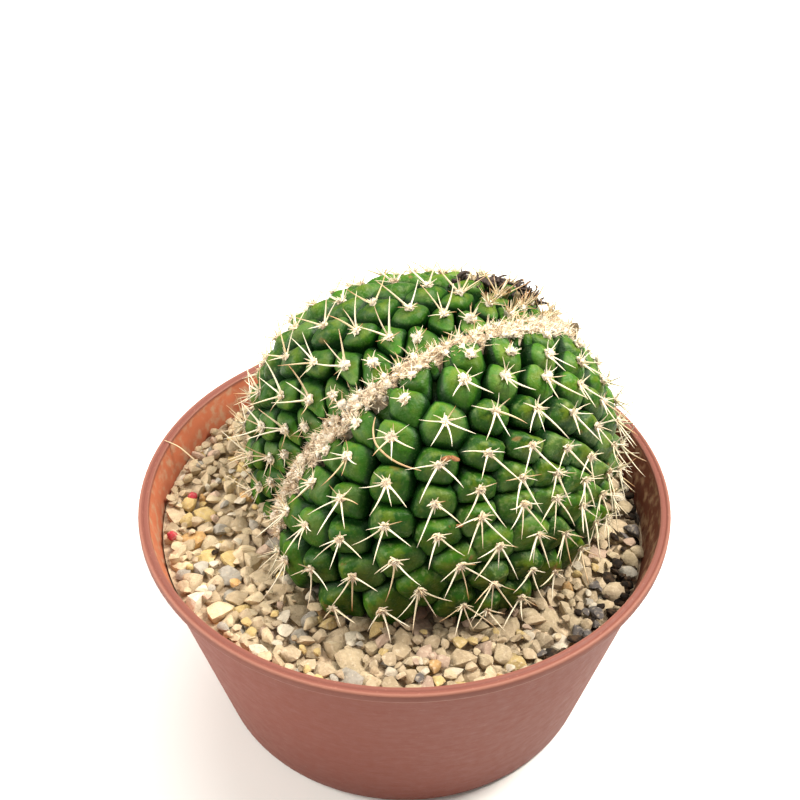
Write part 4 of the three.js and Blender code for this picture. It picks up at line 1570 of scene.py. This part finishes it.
@dataclass
class Gravel:
    """Loose stones that lie on each other between the plant and the wall."""

    seed: int = 61
    shapes: int = 14
    hull_corners: int = 11
    foot: Span = (33.5, 31.5)
    spread: float = 66.0
    depth: float = 5.2
    above: float = 1.9
    grit_depth: float = 1.7
    grit_cells: int = 150
    crumb_radius: float = 2.3
    crumb_share: float = 0.006
    dark_radius: float = 2.7
    waves: tuple[tuple[float, float, int], ...] = (
        (3.4, 4.9, 120), (2.6, 3.6, 300), (1.9, 2.7, 460), (1.1, 1.9, 520),
    )
    half: int = int(RIM_RADIUS)

    def stone(self, draws: Draws) -> Mesh:
        """An angular stone with softened edges."""

        def build(bm: BMesh) -> None:
            """Hulls scattered corners and rounds the hull."""
            for _ in range(self.hull_corners):
                way = draws.way()
                bmesh.ops.create_vert(bm, co=way * draws.between(0.84, 1.12))
            hull = bmesh.ops.convex_hull(bm, input=bm.verts)
            loose = [vert for vert in hull["geom_interior"] if isinstance(vert, bmesh.types.BMVert)]
            bmesh.ops.delete(bm, geom=loose, context="VERTS")
            bmesh.ops.subdivide_edges(bm, edges=bm.edges, cuts=1, smooth=0.22, use_grid_fill=True)

        return shaped(build, "stone")

    def cells(self, x: float, y: float, reach: float) -> list[tuple[int, int, float]]:
        """The bed's 1 mm cells under a stone, each with its distance from the middle."""
        span = int(reach) + 1
        near = (
            (i, j, math.hypot(i - x, j - y))
            for i in range(round(x) - span, round(x) + span + 1)
            for j in range(round(y) - span, round(y) + span + 1)
        )
        return [
            (i + self.half, j + self.half, far)
            for i, j, far in near
            if far <= reach and abs(i) <= self.half and abs(j) <= self.half
        ]

    def free(self, x: float, y: float, radius: float) -> bool:
        """Whether a stone fits between the plant's foot and the wall."""
        if math.hypot(x, y) > wall_inner(GRAVEL_TOP) - radius * 0.92 - 0.3:
            return False
        return math.hypot((x - MOUND_CENTRE.x) / self.foot[0], (y - MOUND_CENTRE.y) / self.foot[1]) > 1

    def build(self) -> None:
        """Drops the stones in waves, the large ones first."""
        draws = Draws(self.seed)
        shapes = [self.stone(draws) for _ in range(self.shapes)]
        stones = Piece("gravel_stones", "gravel_stone", StoneFace().material())
        crumbs = Piece("soil_crumbs", "potting_soil", Humus().material())
        width = 2 * self.half + 1
        bed = [[gravel_height(x - self.half) - self.depth] * width for x in range(width)]
        colours, shares = zip(*(kind.value for kind in Stone))
        for low, high, wanted in self.waves:
            laid = tries = 0
            while laid < wanted and tries < wanted * 12:
                tries += 1
                radius = draws.between(low, high)
                reach, turn = self.spread * math.sqrt(draws.one()), draws.between(0, FULL_TURN)
                x, y = reach * math.cos(turn), reach * math.sin(turn)
                if not self.free(x, y, radius):
                    continue
                flat = draws.between(0.5, 0.8)
                under = self.cells(x, y, radius * 0.75)
                height = sum(bed[i][j] for i, j, _ in under) / len(under) + radius * flat * 0.72
                if height + radius * flat > gravel_height(x) + self.above:
                    continue
                for i, j, far in self.cells(x, y, radius):
                    cap = radius * flat * math.sqrt(max(1 - (far / radius) ** 2, 0)) * 0.9
                    bed[i][j] = max(bed[i][j], height + cap)
                laid += 1
                # By the front-right wall, more stones become dark crumbs or dark stones: partly real soil,
                # partly painted shadow of the wall.
                corner = smooth(54, 61, reach) * smooth(0.3, 0.75, x / reach) * smooth(0.35, 0.0, y / reach)
                earthy = radius < self.crumb_radius and draws.one() < self.crumb_share + 0.8 * corner
                colour = draws.pick(colours, shares)
                if radius < self.dark_radius and draws.one() < 0.7 * corner:
                    colour = Stone.DARK.value[0]
                bend = self.lay(Vector((x, y, height)), radius, flat, colour, draws, shapes)
                (crumbs if earthy else stones).add(*bend)
            log.info("stones of %.1f to %.1f mm: %d", 2 * low, 2 * high, laid)
        self.grit(stones, draws)
        stones.finish("gravel", crisp=31)
        crumbs.finish()

    def grit(self, stones: Piece, draws: Draws) -> None:
        """Lays the fine grit that fills the bed between the stones."""
        widest = wall_inner(GRAVEL_TOP) - 0.4

        def settle(corner: Vector) -> Painted:
            """One corner of the bed, pressed round and made rough."""
            square = max(abs(corner.x), abs(corner.y))
            flat = corner * (square / corner.length * widest if corner.length > 0 else 0)
            rough = noise.noise(flat * 0.9) * 0.5 + noise.noise(flat * 2.3) * 0.35
            height = gravel_height(flat.x) - self.grit_depth + rough
            tone = 0.7 + 0.5 * draws.one()
            return Vector((flat.x, flat.y, height)), (0.50 * tone, 0.38 * tone, 0.25 * tone, draws.one())

        stones.add(sheet(self.grit_cells, self.grit_cells), settle)

    def lay(
        self, centre: Vector, radius: float, flat: float, colour: Triple, draws: Draws,
        shapes: list[Mesh],
    ) -> tuple[Mesh, Bend]:
        """How one stone lies, flat and at a random turn.

        Args:
            centre: The stone's middle.
            radius: Its radius.
            flat: Its height, as a share of its breadth.
            colour: Its colour, with painted light at the left, painted shade at the right, and darker in
                front.
            draws: The random numbers.
            shapes: The shapes to choose from.

        Returns:
            Its shape, and the bend that lays it.
        """
        shape = shapes[int(draws.one() * len(shapes)) % len(shapes)]
        tumble = Matrix.Rotation(draws.between(0, FULL_TURN), 3, draws.way())
        tilt = Matrix.Rotation(draws.between(-0.4, 0.4), 3, "X")
        tilt = tilt @ Matrix.Rotation(draws.between(-0.4, 0.4), 3, "Y")
        stretch = draws.between(0.86, 1.12)
        sizes = Matrix.Diagonal((radius * stretch, radius / stretch, radius * flat))
        move = Matrix.Rotation(draws.between(0, 6.3), 3, "Z") @ tilt @ sizes @ tumble
        # Tone: painted shade at the right, painted light at the left, and darker in front.
        front = smooth(-45, -15, centre.x) * smooth(-12, -46, centre.y)
        tone = draws.between(0.84, 1.12) * (1.08 - 0.16 * smooth(10, 55, centre.x) - 0.3 * front)
        tone *= 1 + 0.14 * smooth(-38, -50, centre.x)
        paint = (*(part * tone for part in colour), draws.one())
        return shape, lambda corner: (centre + move @ corner, paint)


@dataclass
class Soil:
    """The potting soil under the gravel."""

    steps: int = 72
    gap: float = 0.3

    def build(self) -> None:
        """Spins the soil's section."""
        piece = Piece("soil_fill", "potting_soil", Humus().material())
        low = FLOOR + self.gap
        corners = [(0, low), (wall_inner(FLOOR) - 1.7, low), (wall_inner(low + 1.4) - self.gap, low + 1.4)]
        corners += [(wall_inner(height) - self.gap, height) for height in (15, 30, 44, SOIL_TOP)]
        corners += [(radius, SOIL_TOP) for radius in (50, 35, 0)]
        piece.spin([(*corner, PLAIN) for corner in corners], self.steps)
        piece.finish("soil")


# Fruit, dried flowers and litter


POD_SECTION = (
    (0, 0), (0.5, 0.06), (0.86, 0.24), (1, 0.45), (0.96, 0.66), (0.72, 0.86), (0.34, 0.96), (0, 1.0),
)
FLOWER_SECTION = (
    (0, 0), (0.72, 0.01), (0.64, 0.2), (0.6, 0.4), (0.68, 0.6), (0.85, 0.8), (1, 0.93), (0.8, 1.0),
    (0.45, 0.985), (0, 0.96),
)


@dataclass(frozen=True)
class Stand:
    """How a fruit or flower stands on the back flank."""

    node: str
    at: float
    back: float
    way: Vector
    bend: float
    length: float
    radius: float
    sink: float = 1.6
    section: tuple[Span, ...] = FLOWER_SECTION
    wrinkles: float = 0.3
    sides: int = 24

    def build(self, surface: Surface, slot: str, material: Material) -> None:
        """Spins the section, wrinkles it and stands it on its spot."""
        spot = surface.spot(round(self.at * LINE_STEPS), self.back)
        axis = spot.normal.lerp(self.way, self.bend).normalized()
        foot = spot.position - axis * self.sink
        turn = UP.rotation_difference(axis).to_matrix()
        piece = Piece(self.node + "_husk", slot, material)
        corners = [(part * self.radius, rise * self.length, PLAIN) for part, rise in self.section]
        piece.spin(corners, self.sides)
        for vert in piece.bm.verts:
            along = vert.co.z / self.length
            wave = math.sin(5 * math.atan2(vert.co.y, vert.co.x) + 3 * along + self.back)
            fold = 1 - self.wrinkles * (0.5 + 0.5 * wave) * smooth(0, 0.3, along)
            fold *= 1 - self.wrinkles * abs(noise.noise(vert.co * 0.9 + Vector((self.back, 0, 0))))
            vert.co = foot + turn @ Vector((vert.co.x * fold, vert.co.y * fold, vert.co.z))
            vert[piece.paint] = (along, 0.5, 0, 1)
        piece.finish(self.node, levels=1)


@dataclass
class Remains:
    """The seed pod, the three dried flowers and the tangle of older ones."""

    surface: Surface
    threads: int = 150
    seed: int = 7741
    highest_root: float = 121.0

    def build(self) -> None:
        """Stands each on the flank behind the growth line."""
        pod = DryHusk("pod_skin", (0.24, 0.17, 0.06), (0.09, 0.06, 0.025), 0.45).material()
        tube = DryHusk("dried_petal", (0.30, 0.25, 0.12), (0.13, 0.10, 0.045)).material()
        dark = DryHusk("dried_petal_dark", (0.060, 0.030, 0.018), (0.014, 0.008, 0.006)).material()
        stands = (
            (Stand("seed_pod", 0.742, 0.4, UP, 0.62, 7.6, 1.75, 1.2, POD_SECTION, 0.06), "pod_skin", pod),
            (Stand("dried_flower_1", 0.622, 14.5, Vector((0.25, 0, 1)), 0.9, 8.0, 1.0), "dried_petal", tube),
            (Stand("dried_flower_2", 0.63, 10.5, Vector((0.2, 0, 1)), 0.9, 7.6, 0.95), "dried_petal", tube),
            (Stand("dried_flower_3", 0.672, 13, Vector((-0.55, 0, 1)), 1.0, 9.0, 1.5), "dried_petal", dark),
        )
        for stand, slot, finish in stands:
            stand.build(self.surface, slot, finish)
        self.tangle(dark)

    def tangle(self, finish: Material) -> None:
        """The dark, curled threads and scraps of old flowers on the far edge."""
        draws = Draws(self.seed)
        piece = Piece("dry_threads", "dried_petal", finish)
        strand, scrap = horn(4, 7), ball(2)
        for index in range(self.threads):
            at = draws.between(0.56, 0.685)
            inner = 18 - 9 * smooth(0.64, 0.685, at)
            spot = self.surface.spot(round(at * LINE_STEPS), draws.between(inner, inner + 9))
            root = spot.position + spot.normal * draws.between(3.6, 6.4)
            root.z = min(root.z, self.highest_root)
            way = (draws.way() + Vector((0.2, 0, -0.2))).normalized()
            if index % 3 == 0:
                sizes = Vector((draws.between(1.0, 2.0), draws.between(0.6, 1.1), draws.between(0.3, 0.6)))
                bend = crumpled(root, way, sizes, draws.way() * 20)
                piece.add(scrap, bend)
                continue
            tip = root + way * draws.between(2.0, 4.2)
            tip.z = min(tip.z, root.z + 0.8)
            thread = Spine(root, tip, draws.way(), draws.between(0.6, 2.4), draws.between(0.25, 0.6))
            piece.add(strand, thread.bend(), (0.4, 0.5, 0, 1))
        piece.finish()


def crumpled(centre: Vector, way: Vector, sizes: Vector, shift: Vector) -> Bend:
    """How a ball becomes a crumpled scrap of petal, its length along a way."""
    turn = Vector((1, 0, 0)).rotation_difference(way).to_matrix()
    return lambda corner: (
        centre + turn @ (corner * sizes * (1 + 0.7 * noise.noise(corner * 1.8 + shift))), (0.4, 0.5, 0, 1)
    )


@dataclass
class Litter:
    """What has fallen on plant and gravel: a hair, husk flakes, a straw and two red grains."""

    hair: tuple[Triple, ...] = (
        (-6.6, -23.9, 106.0), (-7.1, -26.0, 104.0), (-6.6, -28.8, 102.3), (-4.7, -30.8, 101.0),
        (-2.2, -32.7, 100.2), (0.6, -33.9, 99.6), (4.0, -34.9, 99.2),
    )
    straw: tuple[Triple, ...] = (
        (-55.6, 10.3, 60.6), (-58.8, 12.4, 62.2), (-62.8, 14.8, 64.3), (-67.0, 16.2, 65.6),
    )
    flakes: tuple[Triple, ...] = ((11.2, -33.0, 101.2), (12.6, -40.3, 87.6), (9.4, -33.2, 101.4))
    flake_sizes: tuple[float, ...] = (1.0, 0.75, 1.0)
    flake_shape: Vector = Vector((1.25, 0.7, 0.25))
    grains: tuple[Triple, ...] = ((-57.4, 0.4, 58.6), (-60.4, -14.6, 58.8))
    red: Paint = (0.50, 0.035, 0.055, 0.5)
    seed: int = 443

    def thread(self, points: tuple[Triple, ...], thick: float, paint: Paint) -> Bend:
        """How a horn becomes a thin strand through points."""
        path = GrowthLine(tuple(Vector(point) for point in points))

        def bend(corner: Vector) -> Painted:
            """One corner onto the strand."""
            part = clamp(corner.z, 0.01, 0.99)
            here, ahead, _ = path.frame(part)
            side = ahead.cross(UP).normalized()
            taper = thick * (1 - 0.7 * abs(2 * part - 1) ** 3)
            return here + side * (corner.x * taper) + side.cross(ahead) * (corner.y * taper), paint

        return bend

    def flake(self, place: Triple, size: float, draws: Draws) -> Bend:
        """How a ball becomes a curved flake of husk."""
        turn = Matrix.Rotation(draws.between(0.2, 1.2), 3, draws.way())
        sizes = self.flake_shape * size
        return lambda corner: (
            Vector(place) + turn @ (corner * sizes + Vector((0, 0, 0.35 * corner.x ** 2))), (0.3, 0.5, 0, 1)
        )

    def grain(self, place: Triple) -> Bend:
        """How a ball becomes a lumpy red grain."""
        centre = Vector(place)
        return lambda corner: (
            centre + corner * (1.35 + 0.4 * noise.noise(corner * 1.7 + centre)), self.red
        )

    def build(self) -> None:
        """Makes strands, flakes and grains."""
        strands = Piece("loose_strands", "cactus_skin", SpineHorn().material())
        strands.add(horn(5, 28), self.thread(self.hair, 0.24, (0.8, 0.2, 0.75, 1)))
        strands.add(horn(5, 28), self.thread(self.straw, 0.2, (0.2, 0.3, 0.75, 1)))
        strands.finish()
        finish = DryHusk("husk_flake", (0.36, 0.14, 0.04), (0.15, 0.055, 0.02)).material()
        husk, draws, shape = Piece("husk_flakes", "dried_petal", finish), Draws(self.seed), ball(2)
        for place, size in zip(self.flakes, self.flake_sizes):
            husk.add(shape, self.flake(place, size, draws))
        husk.finish()
        grains = Piece("red_grains", "gravel_stone", StoneFace("red_grain").material())
        for place in self.grains:
            grains.add(shape, self.grain(place))
        grains.finish(crisp=27)


# Floor, lights and camera


@dataclass(frozen=True)
class Lamp:
    """A soft round area light: place, aim and size in metres, and power in watts."""

    name: str
    place: Triple
    aim: Triple
    size: float
    power: float
    colour: Triple

    def hang(self) -> None:
        """Hangs the light."""
        lamp = bpy.data.lights.new(self.name, "AREA")
        lamp.shape = "DISK"
        lamp.size = self.size
        lamp.energy = self.power
        lamp.color = self.colour
        holder = placed(self.name, lamp)
        holder.location = self.place
        holder.rotation_euler = (Vector(self.aim) - Vector(self.place)).to_track_quat("-Z", "Y").to_euler()


@dataclass(frozen=True)
class Studio:
    """A pale floor, soft light from the right, the left and above, and the photograph's viewpoint."""

    eye: Vector = Vector((0, -219.8, 260.9))
    pitch: float = 37.48
    yaw: float = 0.3
    field_of_view: float = 40.0
    paper: Triple = (0.86, 0.86, 0.86)
    sky: Triple = (1.0, 0.96, 0.87)
    sky_strength: float = 0.40
    lamps: tuple[Lamp, ...] = (
        Lamp("window", (0.50, 0.10, 0.82), (0, 0, 0.06), 0.34, 17.0, (1.0, 0.95, 0.86)),
        Lamp("overhead", (-0.12, 0.30, 0.95), (0, 0, 0.06), 0.5, 5.0, (1.0, 0.98, 0.93)),
        Lamp("fill", (-0.66, -0.08, 0.44), (-0.02, 0, 0.07), 0.5, 7.0, (1.0, 0.96, 0.88)),
    )

    def floor(self) -> None:
        """Lays the pale floor under the pot."""
        mesh = shaped(lambda bm: bmesh.ops.create_grid(bm, x_segments=1, y_segments=1, size=3.0), "floor")
        mesh.materials.append(Bench("floor_paper", 0.9).done(self.paper))
        floor = placed("floor", mesh)
        floor.location.z = -0.0002

    def build(self) -> None:
        """Sets up floor, lights, sky and camera."""
        self.floor()
        for lamp in self.lamps:
            lamp.hang()
        world = bpy.data.worlds.new("studio")
        world.use_nodes = True
        background = world.node_tree.nodes["Background"]
        background.inputs["Color"].default_value = (*self.sky, 1)
        background.inputs["Strength"].default_value = self.sky_strength
        scene = bpy.context.scene
        scene.world = world
        scene.view_settings.view_transform = "Standard"
        lens = bpy.data.cameras.new("camera")
        lens.sensor_fit = "HORIZONTAL"
        lens.angle = math.radians(self.field_of_view)
        lens.clip_start = 0.01
        camera = placed("camera", lens)
        camera.location = self.eye * MM
        camera.rotation_euler = (math.radians(90 - self.pitch), 0, math.radians(self.yaw))
        scene.camera = camera


def main() -> None:
    """Builds every piece in order."""
    Studio().build()
    plant = Cactus()
    plant.build()
    Remains(plant.planting.surfaces[1]).build()
    Litter().build()
    Gravel().build()
    Soil().build()
    Pot().build()


if __name__ == "__main__":
    main()
